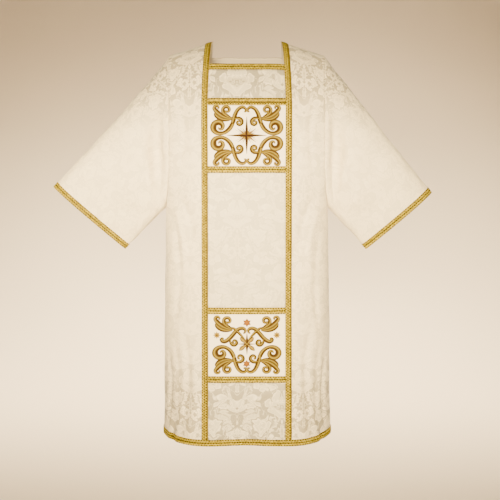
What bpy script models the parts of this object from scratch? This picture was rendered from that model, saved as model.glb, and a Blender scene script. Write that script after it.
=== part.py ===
"""A dalmatic: a wide-sleeved tunic of cream damask with gold galloon and two embroidered squares.

The garment keeps the hollow shape that it has when worn, with both sleeves held out.
Metres, +Z up. -Y is the front and +X the wearer's left. The origin is the middle of the neck, level
with the inside of the cloth where it rests on the wearer's shoulders.
"""

import math

import bpy
import numpy as np

# ---------------------------------------------------------------- driving sizes
WALL = 0.0016  # damask with its lining
TRIM = 0.0011  # galloon, satin squares and the pieces of the centre column
GAP = 0.0003  # between pieces at a seam, and under what is sewn on
MITRE_LIMIT = 1.8  # how many times the wall a mitre may be

SHOULDER_TIP_X = 0.2470  # the sleeve seam at the shoulder
NECK_X = 0.1080  # half the neck opening, on the shoulder seam
SHOULDER_SLOPE = 0.310  # fall of the shoulder seam for each metre out from the neck
CHEST_Z = -0.200  # above this the cloth rolls back over the chest to the shoulder seam
CHEST_ROUND = 2.25  # exponent of that roll: 2 is an ellipse, more is squarer
UNDERARM_Z = -0.520
HEM_Z = -1.262
SIDE_RISE = 0.030  # the hem is pulled up this much at the side seams
RISE_FROM_Z = -0.70

GALLOON = 0.0200
COLUMN_HALF_TOP = 0.1080  # half the centre column, to the galloon's inner edge: at the shoulder seam
COLUMN_HALF = 0.1205  # and from the chest down

# The body's horizontal sections. Each is a rounded box: |x / half|^square + |y / depth|^square = 1.
# Above the underarm the side of the box is cut off by the sleeve seam.
SECTION_COLUMNS = ("z", "half", "front", "back", "square")
SECTIONS = (
    (-0.200, 0.3100, 0.1180, 0.1120, 2.60),
    (-0.360, 0.2880, 0.1220, 0.1160, 2.60),
    (-0.520, 0.2585, 0.1260, 0.1200, 2.65),
    (-0.800, 0.2640, 0.1350, 0.1320, 2.80),
    (-1.050, 0.2620, 0.1480, 0.1490, 2.90),
    (-1.262, 0.2645, 0.1620, 0.1660, 3.00),
)

# Where the sleeve seam stands, seen from the front.
ARMHOLE_COLUMNS = ("z", "x")
ARMHOLE = (
    (-0.200, 0.2430),
    (-0.370, 0.2450),
    (-0.470, 0.2510),
    (-0.520, 0.2585),
)

# Soft folds of the body. "at" and "hem_at" are distances round the cloth from the centre line, at the
# top and at the hem, "out" is how far the fold stands out at the hem, and negative is a trough.
FOLD_COLUMNS = ("at", "hem_at", "width", "out", "top_z")
FRONT_FOLDS = (
    (0.000, 0.000, 0.080, -0.0170, -0.90),
    (-0.150, -0.160, 0.050, 0.0060, -0.95),
    (0.145, 0.165, 0.052, 0.0050, -0.98),
    (-0.262, -0.250, 0.015, -0.0070, -0.82),
    (0.262, 0.255, 0.015, -0.0060, -0.86),
    (-0.310, -0.318, 0.018, 0.0050, -0.60),
    (0.310, 0.315, 0.020, 0.0060, -0.64),
)
BACK_FOLDS = (
    (0.020, 0.035, 0.045, -0.0120, -0.50),
    (-0.090, -0.105, 0.040, 0.0100, -0.42),
    (0.115, 0.120, 0.038, 0.0080, -0.66),
    (-0.180, -0.200, 0.030, -0.0110, -0.60),
    (0.205, 0.230, 0.032, -0.0090, -0.52),
    (-0.270, -0.290, 0.026, 0.0080, -0.70),
)

# Levels where something is sewn on or the cloth bends, as heights on the centre line.
FRONT_LEVELS = {
    "shoulder": WALL,
    "roll_1": -0.004,
    "roll_2": -0.020,
    "roll_3": -0.048,
    "neck_top": -0.0755,
    "neck_bottom": -0.0940,
    "yoke": -0.1400,
    "bar_2_top": -0.1815,
    "bar_2_bottom": -0.2010,
    "square_1": -0.2960,
    "bar_3_top": -0.3910,
    "bar_3_bottom": -0.4110,
    "armpit": -0.4750,
    "underarm": UNDERARM_Z,
    "middle_1": -0.6200,
    "middle_2": -0.7350,
    "bar_4_top": -0.8290,
    "bar_4_bottom": -0.8490,
    "square_2": -0.9460,
    "bar_5_top": -1.0435,
    "bar_5_bottom": -1.0635,
    "skirt": -1.1700,
    "hem_top": HEM_Z + GALLOON,
    "hem": HEM_Z,
}
BACK_LEVELS = {
    "shoulder": WALL,
    "roll_1": -0.004,
    "roll_2": -0.018,
    "neck_top": -0.0400,
    "neck_bottom": -0.0590,
    "roll_3": -0.1050,
    "roll_4": -0.1600,
    "chest": -0.2350,
    "blade": -0.3300,
    "back_1": -0.4100,
    "armpit": -0.4750,
    **{k: z for k, z in FRONT_LEVELS.items() if z <= UNDERARM_Z},
}

# Columns of the panels, as shares of the stretch from the galloon's outer edge to the panel's edge.
INNER_SHARES = (0.0, 0.25, 0.5, 0.75, 1.0)
OUTER_SHARES = (0.16, 0.33, 0.49, 0.64, 0.77, 0.885, 1.0)
IN_COLUMN = len(INNER_SHARES) - 1
OUT_COLUMN = IN_COLUMN + 1
EDGE_COLUMN = OUT_COLUMN + len(OUTER_SHARES)

# Each sleeve's cuff, by the side it is on. top and bottom are the ends of its opening seen from the
# front, "open" half its width from front to back, "sag" how far its top edge dips below a straight line.
CUFFS = {
    "left": {"side": 1, "top": (0.5920, -0.4735), "bottom": (0.3850, -0.6550), "open": 0.058, "sag": 0.002},
    "right": {"side": -1, "top": (0.6190, -0.4560), "bottom": (0.3930, -0.6545), "open": 0.046, "sag": 0.010},
}
CUFF_TAPER = 0.62  # how much narrower the opening is at its bottom seam than at the arm
AT_BAND = "band"  # the ring at the inner edge of the cuff's galloon
SLEEVE_RINGS = (0.0, 0.07, 0.16, 0.28, 0.42, 0.57, 0.71, 0.83, AT_BAND, 1.0)
SAG_AT = 0.30  # where along the sleeve the top edge dips most

# Folds of the sleeves. "along" runs from the seam to the cuff, "down" from the top edge to the
# underarm seam, "width" is a share of the sleeve's length.
SLEEVE_FOLD_COLUMNS = ("along_top", "along_bottom", "width", "out", "down", "reach")
SLEEVE_FOLDS = (
    (0.05, 0.34, 0.085, -0.0105, 0.58, 0.26),
    (0.30, 0.62, 0.110, 0.0050, 0.62, 0.24),
    (0.62, 0.86, 0.120, -0.0040, 0.55, 0.22),
)

CREAM = (0.845, 0.790, 0.690)
CREAM_COLUMN = (0.800, 0.745, 0.645)
GOLD = (0.640, 0.440, 0.130)
SATIN = (0.900, 0.850, 0.760)


# ---------------------------------------------------------------- small helpers
def table_row(columns, row):
    return dict(zip(columns, row, strict=True))


def smooth(t):
    """0 below 0, 1 above 1, and a soft S between."""
    t = min(1.0, max(0.0, t))
    return t * t * (3 - 2 * t)


def read_table(columns, rows, z, name):
    """A column of a table whose rows go down in z, with a monotone curve between its rows."""
    heights = [-table_row(columns, row)["z"] for row in rows]
    values = [table_row(columns, row)[name] for row in rows]
    at = min(max(-z, heights[0]), heights[-1])
    k = min(sum(h <= at for h in heights), len(heights) - 1) - 1
    steps = [
        (values[i + 1] - values[i]) / (heights[i + 1] - heights[i]) for i in range(len(heights) - 1)
    ]

    def slope(i):
        if i == 0:
            return steps[0]
        if i == len(steps):
            return steps[-1]
        before, after = steps[i - 1], steps[i]
        return 0.0 if before * after <= 0 else 2 * before * after / (before + after)

    span = heights[k + 1] - heights[k]
    t = (at - heights[k]) / span
    return (
        values[k] * (1 + 2 * t) * (1 - t) ** 2
        + values[k + 1] * t * t * (3 - 2 * t)
        + slope(k) * span * t * (1 - t) ** 2
        - slope(k + 1) * span * t * t * (1 - t)
    )


# ---------------------------------------------------------------- the body's outer skin
SECTION_STEPS = 240


def quarter_section(face, z):
    """A quarter of the section at z, from the centre line to the side: (length round, x, y)."""
    size = {name: read_table(SECTION_COLUMNS, SECTIONS, z, name) for name in SECTION_COLUMNS[1:]}
    depth = size["front"] if face < 0 else size["back"]
    angle = np.linspace(0, math.pi / 2, SECTION_STEPS + 1)
    x = size["half"] * np.sin(angle) ** (2 / size["square"])
    y = face * depth * np.abs(np.cos(angle)) ** (2 / size["square"])
    y[-1] = 0.0
    length = np.concatenate([[0], np.cumsum(np.hypot(np.diff(x), np.diff(y)))])
    return length, x, y


def section_at(face, z, s):
    """(x, y) of the section at z, s round from the centre line."""
    length, x, y = quarter_section(face, z)
    s_in = min(abs(s), length[-1])
    return math.copysign(float(np.interp(s_in, length, x)), s), float(np.interp(s_in, length, y))


def edge_of_panel(face, z):
    """How far round from the centre line the panel reaches at z: to the sleeve seam or the side seam."""
    chest = max(UNDERARM_Z, min(z, CHEST_Z))
    length, x, _ = quarter_section(face, min(z, CHEST_Z))
    if z <= UNDERARM_Z:
        return float(length[-1])
    seam_x = read_table(ARMHOLE_COLUMNS, ARMHOLE, chest, "x")
    at_seam = float(np.interp(seam_x, x, length))
    return SHOULDER_TIP_X + (at_seam - SHOULDER_TIP_X) * roll_share(z)


def roll_share(z):
    """How far a level is from the shoulder seam, 0, to the chest, 1."""
    if z <= CHEST_Z:
        return 1.0
    height = max(0.0, (z - CHEST_Z) / (WALL - CHEST_Z))
    return math.acos(min(1.0, height ** (CHEST_ROUND / 2))) * 2 / math.pi


def shoulder_z(s):
    """Height of the shoulder seam, s out from the centre line."""
    return WALL - SHOULDER_SLOPE * max(0.0, abs(s) - NECK_X)


def fold_offset(face, s, z):
    """How far the folds push the cloth out there."""
    out = 0.0
    for row in FRONT_FOLDS if face < 0 else BACK_FOLDS:
        fold = table_row(FOLD_COLUMNS, row)
        if z < fold["top_z"]:
            down = (fold["top_z"] - z) / (fold["top_z"] - HEM_Z)
            centre = fold["at"] + (fold["hem_at"] - fold["at"]) * down
            out += fold["out"] * smooth(down) * math.exp(-(((s - centre) / fold["width"]) ** 2))
    return out


def body_point(face, s, z):
    """A point of the outer skin. face is -1 in front and 1 behind, s the way round the cloth from the
    centre line, and z the height at which that level crosses the centre line."""
    if z > CHEST_Z:
        roll = roll_share(z)
        x_chest, y_chest = section_at(face, CHEST_Z, s)
        away = math.sin(math.pi / 2 * roll) ** (2 / CHEST_ROUND)
        up = math.cos(math.pi / 2 * roll) ** (2 / CHEST_ROUND)
        return (
            s + (x_chest - s) * roll,
            face * GAP / 2 + y_chest * away,
            CHEST_Z + (shoulder_z(s) - CHEST_Z) * up,
        )
    x, y = section_at(face, z, s)
    reach = quarter_section(face, z)[0][-1]
    step = 0.004
    (x0, y0), (x1, y1) = section_at(face, z, s - step), section_at(face, z, s + step)
    along = math.hypot(x1 - x0, y1 - y0)
    out = fold_offset(face, s, z)
    if abs(s) < reach - step and along > 0:
        x += face * -(y1 - y0) / along * out
        y += face * (x1 - x0) / along * out
    rise = SIDE_RISE * smooth((RISE_FROM_Z - z) / (RISE_FROM_Z - HEM_Z))
    return x, face * GAP / 2 + y, z + rise * min(1.0, abs(s) / reach) ** 4


def column_half(z):
    """Half the width of the centre column at z."""
    return COLUMN_HALF_TOP + (COLUMN_HALF - COLUMN_HALF_TOP) * roll_share(z)


def panel_columns(face, z):
    """Where the panel's columns cross the level z, from the right-hand edge to the left-hand one."""
    inner = [share * column_half(z) for share in INNER_SHARES]
    outer_edge = inner[-1] + GALLOON
    edge = edge_of_panel(face, z)
    half = inner + [outer_edge] + [outer_edge + share * (edge - outer_edge) for share in OUTER_SHARES]
    return [-s for s in half[:0:-1]] + half


def panel_skin(face, levels):
    return np.array(
        [[body_point(face, s, z) for s in panel_columns(face, z)] for z in levels.values()]
    )


# ---------------------------------------------------------------- the sleeves' outer skin
def armhole_loop(front, back, side):
    """The seam between body and sleeve, from the shoulder down the front and up the back."""
    column = EDGE_COLUMN + side * EDGE_COLUMN
    loop = []
    for skin, levels, backwards in ((front, FRONT_LEVELS, False), (back, BACK_LEVELS, True)):
        last = list(levels).index("underarm")
        loop += [skin[row, column] for row in (range(last, -1, -1) if backwards else range(last + 1))]
    # The two underarm points and the two shoulder points are each one point of the loop.
    bottom = list(FRONT_LEVELS).index("underarm")
    loop[bottom] = (loop[bottom] + loop[bottom + 1]) / 2
    loop[0] = (loop[0] + loop[-1]) / 2
    return np.array(loop[: bottom + 1] + loop[bottom + 2 : -1]), bottom


def down_shares(loop, bottom):
    """How far down each point of the armhole is, 0 at the shoulder and 1 at the underarm."""
    steps = np.linalg.norm(np.roll(loop, -1, axis=0) - loop, axis=1)
    to_bottom = np.concatenate([[0], np.cumsum(steps[:bottom])]) / steps[:bottom].sum()
    back = 1 - np.cumsum(steps[bottom:])[:-1] / steps[bottom:].sum()
    return np.concatenate([to_bottom, back])


def cuff_loop(cuff, downs, bottom):
    """The cuff's opening: round at the arm and narrow at the underarm seam."""
    (top_x, top_z), (bottom_x, bottom_z) = cuff["top"], cuff["bottom"]
    points = []
    for k, down in enumerate(downs):
        face = -1 if k <= bottom else 1
        fall = (1 - math.cos(math.pi * down)) / 2
        half = cuff["open"] * math.sin(math.pi * down) * (1 - CUFF_TAPER * fall)
        x = top_x + (bottom_x - top_x) * fall
        points.append((cuff["side"] * x, face * half, top_z + (bottom_z - top_z) * fall))
    return np.array(points)


def sleeve_fold(share, down):
    """How far the folds push the sleeve out, share along it and down from its top edge."""
    out = 0.0
    for row in SLEEVE_FOLDS:
        fold = table_row(SLEEVE_FOLD_COLUMNS, row)
        centre = fold["along_top"] + (fold["along_bottom"] - fold["along_top"]) * down
        across = math.exp(-(((share - centre) / fold["width"]) ** 2))
        out += fold["out"] * across * math.exp(-(((down - fold["down"]) / fold["reach"]) ** 2))
    return out


def sleeve_skin(cuff, loop, bottom):
    """Rings from the armhole to the cuff."""
    downs = down_shares(loop, bottom)
    end = cuff_loop(cuff, downs, bottom)
    length = np.linalg.norm(end - loop, axis=1)
    rings = []
    for ring_share in SLEEVE_RINGS:
        shares = 1 - GALLOON / length if ring_share == AT_BAND else np.full(len(loop), ring_share)
        ring = loop + (end - loop) * shares[:, None]
        for k, (share, down) in enumerate(zip(shares, downs, strict=True)):
            face = -1 if k <= bottom else 1
            fade = smooth(share / SLEEVE_RINGS[2]) * smooth((1 - share) / 0.2)
            dip = math.sin(math.pi * share ** (math.log(0.5) / math.log(SAG_AT)))
            ring[k, 1] += face * sleeve_fold(share, down) * fade
            ring[k, 2] -= cuff["sag"] * dip * (1 - down) ** 2
        rings.append(ring)
    return np.array(rings)


# ---------------------------------------------------------------- walls and meshes
def grid_faces(rows, columns, closed=False, keep=lambda row, column: True):
    """Quads of a grid of points. closed joins the last column to the first."""
    faces = []
    for row in range(rows - 1):
        for column in range(columns if closed else columns - 1):
            if keep(row, column):
                after = (column + 1) % columns
                faces.append(
                    (
                        row * columns + column,
                        (row + 1) * columns + column,
                        (row + 1) * columns + after,
                        row * columns + after,
                    )
                )
    return faces


def skin_normals(skin, faces):
    """Unit normals at the points of a grid."""
    points = skin.reshape(-1, 3)
    total = np.zeros_like(points)
    for face in faces:
        a, b, c, d = (points[k] for k in face)
        for k in face:
            total[k] += np.cross(c - a, d - b)
    length = np.linalg.norm(total, axis=1, keepdims=True)
    return (total / np.maximum(length, 1e-12)).reshape(skin.shape)


def share_normal(*places):
    """Gives the pieces that meet at a seam one normal there, so that their walls stay side by side.
    It is longer than 1 where they meet at an angle, to keep the walls' thickness through the mitre."""
    total = sum(normals[index] for normals, index in places)
    total = total / np.linalg.norm(total)
    nearest = min(float(np.dot(total, normals[index])) for normals, index in places)
    for normals, index in places:
        normals[index] = total / max(nearest, 1 / MITRE_LIMIT)


def new_object(name, points, faces, material):
    used = sorted({k for face in faces for k in face})
    number = {k: i for i, k in enumerate(used)}
    mesh = bpy.data.meshes.new(name)
    mesh.from_pydata([tuple(points[k]) for k in used], [], [[number[k] for k in f] for f in faces])
    mesh.shade_smooth()
    obj = bpy.data.objects.new(name, mesh)
    obj.data.materials.append(material)
    dalmatic.objects.link(obj)
    return obj


def add_wall(name, skin, normals, faces, material):
    """A cloth wall: the outer skin, the same skin moved in, and a rim along each open edge."""
    outer = skin.reshape(-1, 3)
    inner = outer - normals.reshape(-1, 3) * WALL
    count = len(outer)
    edges = {(f[k], f[(k + 1) % len(f)]) for f in faces for k in range(len(f))}
    rims = []
    for a, b in sorted(edges):
        if (b, a) in edges:
            continue
        # Split from the higher end, so that the rims on both sides of a seam are split alike.
        if outer[a, 2] > outer[b, 2]:
            rims += [(a, a + count, b + count), (a, b + count, b)]
        else:
            rims += [(b, a, a + count), (b, a + count, b + count)]
    inside = [tuple(k + count for k in reversed(face)) for face in faces]
    return new_object(name, np.concatenate([outer, inner]), inside + faces + rims, material)


def add_trim(name, points, material, closed=False):
    """Something flat sewn on: its underside is a grid of points, and Solidify gives its thickness."""
    rows, columns = points.shape[:2]
    obj = new_object(name, points.reshape(-1, 3), grid_faces(rows, columns, closed), material)
    wall = obj.modifiers.new("thickness", "SOLIDIFY")
    wall.thickness = TRIM
    wall.offset = 1
    return obj


def lifted(skin, normals, rows, columns):
    """Points of a panel, moved out by the gap that keeps a trim clear of it."""
    place = np.ix_(rows, columns)
    return skin[place] + normals[place] * GAP


def pull_in(points, ends=True, top=False, bottom=False):
    """Draws the edges of a grid in by one gap, so that it stays clear of what it butts against."""
    points = points.copy()
    moves = []
    if ends:
        moves += [((slice(None), 0), (slice(None), 1)), ((slice(None), -1), (slice(None), -2))]
    if top:
        moves.append((0, 1))
    if bottom:
        moves.append((-1, -2))
    for edge, inside in moves:
        way = points[inside] - points[edge]
        points[edge] += way / np.linalg.norm(way, axis=-1, keepdims=True) * GAP
    return points


def make_material(name, colour, roughness, metallic=0.0):
    material = bpy.data.materials.new(name)
    material.use_nodes = True
    shader = material.node_tree.nodes["Principled BSDF"]
    shader.inputs["Base Color"].default_value = (*colour, 1.0)
    shader.inputs["Roughness"].default_value = roughness
    shader.inputs["Metallic"].default_value = metallic
    return material


# ---------------------------------------------------------------- the garment
for old in list(bpy.data.objects):
    bpy.data.objects.remove(old)

dalmatic = bpy.data.collections.new("dalmatic")
bpy.context.scene.collection.children.link(dalmatic)

damask = make_material("cream_damask", CREAM, 0.62)
column_damask = make_material("column_damask", CREAM_COLUMN, 0.62)
gold = make_material("gold_galloon", GOLD, 0.38, 0.6)
satin = make_material("white_satin", SATIN, 0.45)

FRONT_ROWS = {name: row for row, name in enumerate(FRONT_LEVELS)}
BACK_ROWS = {name: row for row, name in enumerate(BACK_LEVELS)}
COLUMNS = 2 * EDGE_COLUMN + 1
CENTRE = EDGE_COLUMN


def outside_neck(neck_row):
    """Leaves the neck opening out of a panel."""
    return lambda row, column: (
        row >= neck_row or not CENTRE - IN_COLUMN <= column < CENTRE + IN_COLUMN
    )


def panel(face, levels, rows):
    skin = panel_skin(face, levels)
    if face > 0:
        skin = skin[:, ::-1]  # so that its faces point backwards and out
    faces = grid_faces(len(levels), COLUMNS, keep=outside_neck(rows["neck_top"]))
    return skin, faces, skin_normals(skin, faces)


front, front_faces, front_normals = panel(-1, FRONT_LEVELS, FRONT_ROWS)
back, back_faces, back_normals = panel(1, BACK_LEVELS, BACK_ROWS)


def back_column(column):
    """The back panel's column that meets this column of the front one."""
    return COLUMNS - 1 - column


sleeves = {}
for name, cuff in CUFFS.items():
    loop, bottom = armhole_loop(front, back[:, ::-1], cuff["side"])
    rings = sleeve_skin(cuff, loop, bottom)
    if cuff["side"] > 0:  # so that its faces point out too
        rings = rings[:, (-np.arange(len(loop))) % len(loop)]
    faces = grid_faces(len(SLEEVE_RINGS), len(loop), closed=True)
    sleeves[name] = (rings, faces, skin_normals(rings, faces), bottom)

# One normal for all the walls that meet at a seam.
edges = {"left": COLUMNS - 1, "right": 0}
for column in range(1, COLUMNS - 1):
    if not CENTRE - IN_COLUMN < column < CENTRE + IN_COLUMN:
        share_normal((front_normals, (0, column)), (back_normals, (0, back_column(column))))
for name, column in edges.items():
    _, _, ring_normals, bottom = sleeves[name]
    turn = -CUFFS[name]["side"]
    behind = back_column(column)
    # At its top and bottom the sleeve meets two panels, and so counts twice.
    share_normal(
        (front_normals, (0, column)),
        (back_normals, (0, behind)),
        *[(ring_normals, (0, 0))] * 2,
    )
    for row in range(1, FRONT_ROWS["underarm"]):
        share_normal((front_normals, (row, column)), (ring_normals, (0, turn * row)))
    for row in range(1, BACK_ROWS["underarm"]):
        share_normal((back_normals, (row, behind)), (ring_normals, (0, -turn * row)))
    share_normal(
        (front_normals, (FRONT_ROWS["underarm"], column)),
        (back_normals, (BACK_ROWS["underarm"], behind)),
        *[(ring_normals, (0, turn * bottom))] * 2,
    )
    for level in list(FRONT_LEVELS)[FRONT_ROWS["underarm"] + 1 :]:
        share_normal(
            (front_normals, (FRONT_ROWS[level], column)), (back_normals, (BACK_ROWS[level], behind))
        )

add_wall("front_panel", front, front_normals, front_faces, damask)
add_wall("back_panel", back, back_normals, back_faces, damask)
for name, (rings, faces, ring_normals, _) in sleeves.items():
    # The sleeve stands off the armhole by the gap, square to the rim that both share.
    along = np.roll(rings[0], -1, axis=0) - np.roll(rings[0], 1, axis=0)
    off = np.cross(along, ring_normals[0])
    off /= np.linalg.norm(off, axis=1, keepdims=True)
    rings[0] += off * GAP
    add_wall(f"sleeve_{name}", rings, ring_normals, faces, damask)


def front_patch(top, bottom, half_columns):
    """The front panel's points between two levels, half_columns either side of the centre line."""
    rows = range(FRONT_ROWS[top], FRONT_ROWS[bottom] + 1)
    columns = range(CENTRE - half_columns, CENTRE + half_columns + 1)
    return lifted(front, front_normals, rows, columns)


# The centre column: damask above, between and below the two satin squares.
for name, top, bottom, material in (
    ("column_chest", "neck_bottom", "bar_2_top", column_damask),
    ("square_upper", "bar_2_bottom", "bar_3_top", satin),
    ("column_middle", "bar_3_bottom", "bar_4_top", column_damask),
    ("square_lower", "bar_4_bottom", "bar_5_top", satin),
    ("column_lower", "bar_5_bottom", "hem_top", column_damask),
):
    add_trim(name, pull_in(front_patch(top, bottom, IN_COLUMN), top=True, bottom=True), material)

# Galloon across the column, round the neck, down both sides of it, and round the hem and cuffs.
for name, top, bottom in (
    ("galloon_neck_front", "neck_top", "neck_bottom"),
    ("galloon_bar_2", "bar_2_top", "bar_2_bottom"),
    ("galloon_bar_3", "bar_3_top", "bar_3_bottom"),
    ("galloon_bar_4", "bar_4_top", "bar_4_bottom"),
    ("galloon_bar_5", "bar_5_top", "bar_5_bottom"),
):
    add_trim(name, pull_in(front_patch(top, bottom, IN_COLUMN)), gold)

neck_rows = range(BACK_ROWS["neck_top"], BACK_ROWS["neck_bottom"] + 1)
neck_columns = range(CENTRE - IN_COLUMN, CENTRE + IN_COLUMN + 1)
add_trim("galloon_neck_back", pull_in(lifted(back, back_normals, neck_rows, neck_columns)), gold)

for name, columns in (
    ("galloon_left", (CENTRE + IN_COLUMN, CENTRE + OUT_COLUMN)),
    ("galloon_right", (CENTRE - OUT_COLUMN, CENTRE - IN_COLUMN)),
):
    front_rows = range(FRONT_ROWS["hem_top"], -1, -1)
    back_rows = range(1, BACK_ROWS["hem_top"] + 1)
    behind = [back_column(column) for column in columns]
    over_shoulder = np.concatenate(
        [
            lifted(front, front_normals, front_rows, columns),
            lifted(back, back_normals, back_rows, behind),
        ]
    )[::-1]
    add_trim(name, pull_in(over_shoulder, ends=False, top=True, bottom=True), gold)

hem_rows = range(FRONT_ROWS["hem_top"], FRONT_ROWS["hem"] + 1)
hem_back_rows = range(BACK_ROWS["hem_top"], BACK_ROWS["hem"] + 1)
hem_front = lifted(front, front_normals, hem_rows, range(COLUMNS))
hem_back = lifted(back, back_normals, hem_back_rows, range(1, COLUMNS - 1))
add_trim("galloon_hem", np.concatenate([hem_front, hem_back], axis=1), gold, closed=True)

for name, (rings, _, ring_normals, _) in sleeves.items():
    band_rings = (len(SLEEVE_RINGS) - 2, len(SLEEVE_RINGS) - 1)
    band = lifted(rings, ring_normals, band_rings, range(rings.shape[1]))
    add_trim(f"galloon_cuff_{name}", band, gold, closed=True)
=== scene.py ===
"""How the dalmatic looks: cream damask, white satin squares worked in gold, and woven galloon.

Metres, +Z up. -Y is the front and +X the wearer's left, as in the frame.
"""

import math
from functools import reduce

import bmesh
import bpy
import numpy as np
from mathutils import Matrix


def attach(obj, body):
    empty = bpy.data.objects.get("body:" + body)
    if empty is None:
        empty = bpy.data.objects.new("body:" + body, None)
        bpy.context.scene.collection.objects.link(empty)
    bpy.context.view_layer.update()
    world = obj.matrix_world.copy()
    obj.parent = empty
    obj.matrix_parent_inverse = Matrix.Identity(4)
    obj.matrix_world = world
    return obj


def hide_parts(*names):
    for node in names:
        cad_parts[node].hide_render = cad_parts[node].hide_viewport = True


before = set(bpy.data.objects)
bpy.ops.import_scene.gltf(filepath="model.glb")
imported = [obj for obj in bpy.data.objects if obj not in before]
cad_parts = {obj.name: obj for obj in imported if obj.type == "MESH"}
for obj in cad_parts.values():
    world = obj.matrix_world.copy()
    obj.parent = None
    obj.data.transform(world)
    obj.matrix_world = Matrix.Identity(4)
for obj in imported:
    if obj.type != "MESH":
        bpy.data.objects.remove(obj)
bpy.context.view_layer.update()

# ---------------------------------------------------------------- the cut: the same sizes as the solids
WALL = 0.0016
GAP = 0.0003
SHOULDER_TIP_X = 0.2470
NECK_X = 0.1080
SHOULDER_SLOPE = 0.310
CHEST_Z = -0.200
CHEST_ROUND = 2.25
UNDERARM_Z = -0.520
HEM_Z = -1.262
SIDE_RISE = 0.030
RISE_FROM_Z = -0.70
GALLOON = 0.0200
COLUMN_HALF_TOP = 0.1080
COLUMN_HALF = 0.1205

SECTION_COLUMNS = ("z", "half", "front", "back", "square")
SECTIONS = (
    (-0.200, 0.3100, 0.1180, 0.1120, 2.60),
    (-0.360, 0.2880, 0.1220, 0.1160, 2.60),
    (-0.520, 0.2585, 0.1260, 0.1200, 2.65),
    (-0.800, 0.2640, 0.1350, 0.1320, 2.80),
    (-1.050, 0.2620, 0.1480, 0.1490, 2.90),
    (-1.262, 0.2645, 0.1620, 0.1660, 3.00),
)
ARMHOLE_COLUMNS = ("z", "x")
ARMHOLE = ((-0.200, 0.2430), (-0.370, 0.2450), (-0.470, 0.2510), (-0.520, 0.2585))

# Soft folds, as in the solids: at the top and at the hem, how far round from the centre line.
FOLD_COLUMNS = ("at", "hem_at", "width", "out", "top_z")
FRONT_FOLDS = (
    (0.000, 0.000, 0.080, -0.0170, -0.90),
    (-0.150, -0.160, 0.050, 0.0060, -0.95),
    (0.145, 0.165, 0.052, 0.0050, -0.98),
    (-0.262, -0.250, 0.015, -0.0070, -0.82),
    (0.262, 0.255, 0.015, -0.0060, -0.86),
    (-0.310, -0.318, 0.018, 0.0050, -0.60),
    (0.310, 0.315, 0.020, 0.0060, -0.64),
)
BACK_FOLDS = (
    (0.020, 0.035, 0.045, -0.0120, -0.50),
    (-0.090, -0.105, 0.040, 0.0100, -0.42),
    (0.115, 0.120, 0.038, 0.0080, -0.66),
    (-0.180, -0.200, 0.030, -0.0110, -0.60),
    (0.205, 0.230, 0.032, -0.0090, -0.52),
    (-0.270, -0.290, 0.026, 0.0080, -0.70),
)

FRONT_LEVELS = dict(
    shoulder=WALL, neck_top=-0.0755, neck_bottom=-0.0940, bar_2_top=-0.1815, chest=CHEST_Z,
    bar_2_bottom=-0.2010, bar_3_top=-0.3910, bar_3_bottom=-0.4110, underarm=UNDERARM_Z,
    bar_4_top=-0.8290, bar_4_bottom=-0.8490, bar_5_top=-1.0435, bar_5_bottom=-1.0635,
    hem_top=HEM_Z + GALLOON, hem=HEM_Z,
)
BACK_LEVELS = dict(
    shoulder=WALL, neck_top=-0.0400, neck_bottom=-0.0590, chest=CHEST_Z, underarm=UNDERARM_Z,
    hem_top=HEM_Z + GALLOON, hem=HEM_Z,
)
ROLL_LENGTH = 0.26  # of cloth, from the shoulder seam to the chest

CUFFS = {
    "left": dict(side=1, top=(0.5920, -0.4735), bottom=(0.3850, -0.6550), open=0.058, sag=0.002),
    "right": dict(side=-1, top=(0.6190, -0.4560), bottom=(0.3930, -0.6545), open=0.046, sag=0.010),
}
CUFF_TAPER = 0.62
SAG_AT = 0.30
SLEEVE_FOLD_COLUMNS = ("along_top", "along_bottom", "width", "out", "down", "reach")
SLEEVE_FOLDS = (
    (0.05, 0.34, 0.085, -0.0105, 0.58, 0.26),
    (0.30, 0.62, 0.110, 0.0050, 0.62, 0.24),
    (0.62, 0.86, 0.120, -0.0040, 0.55, 0.22),
)

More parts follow.
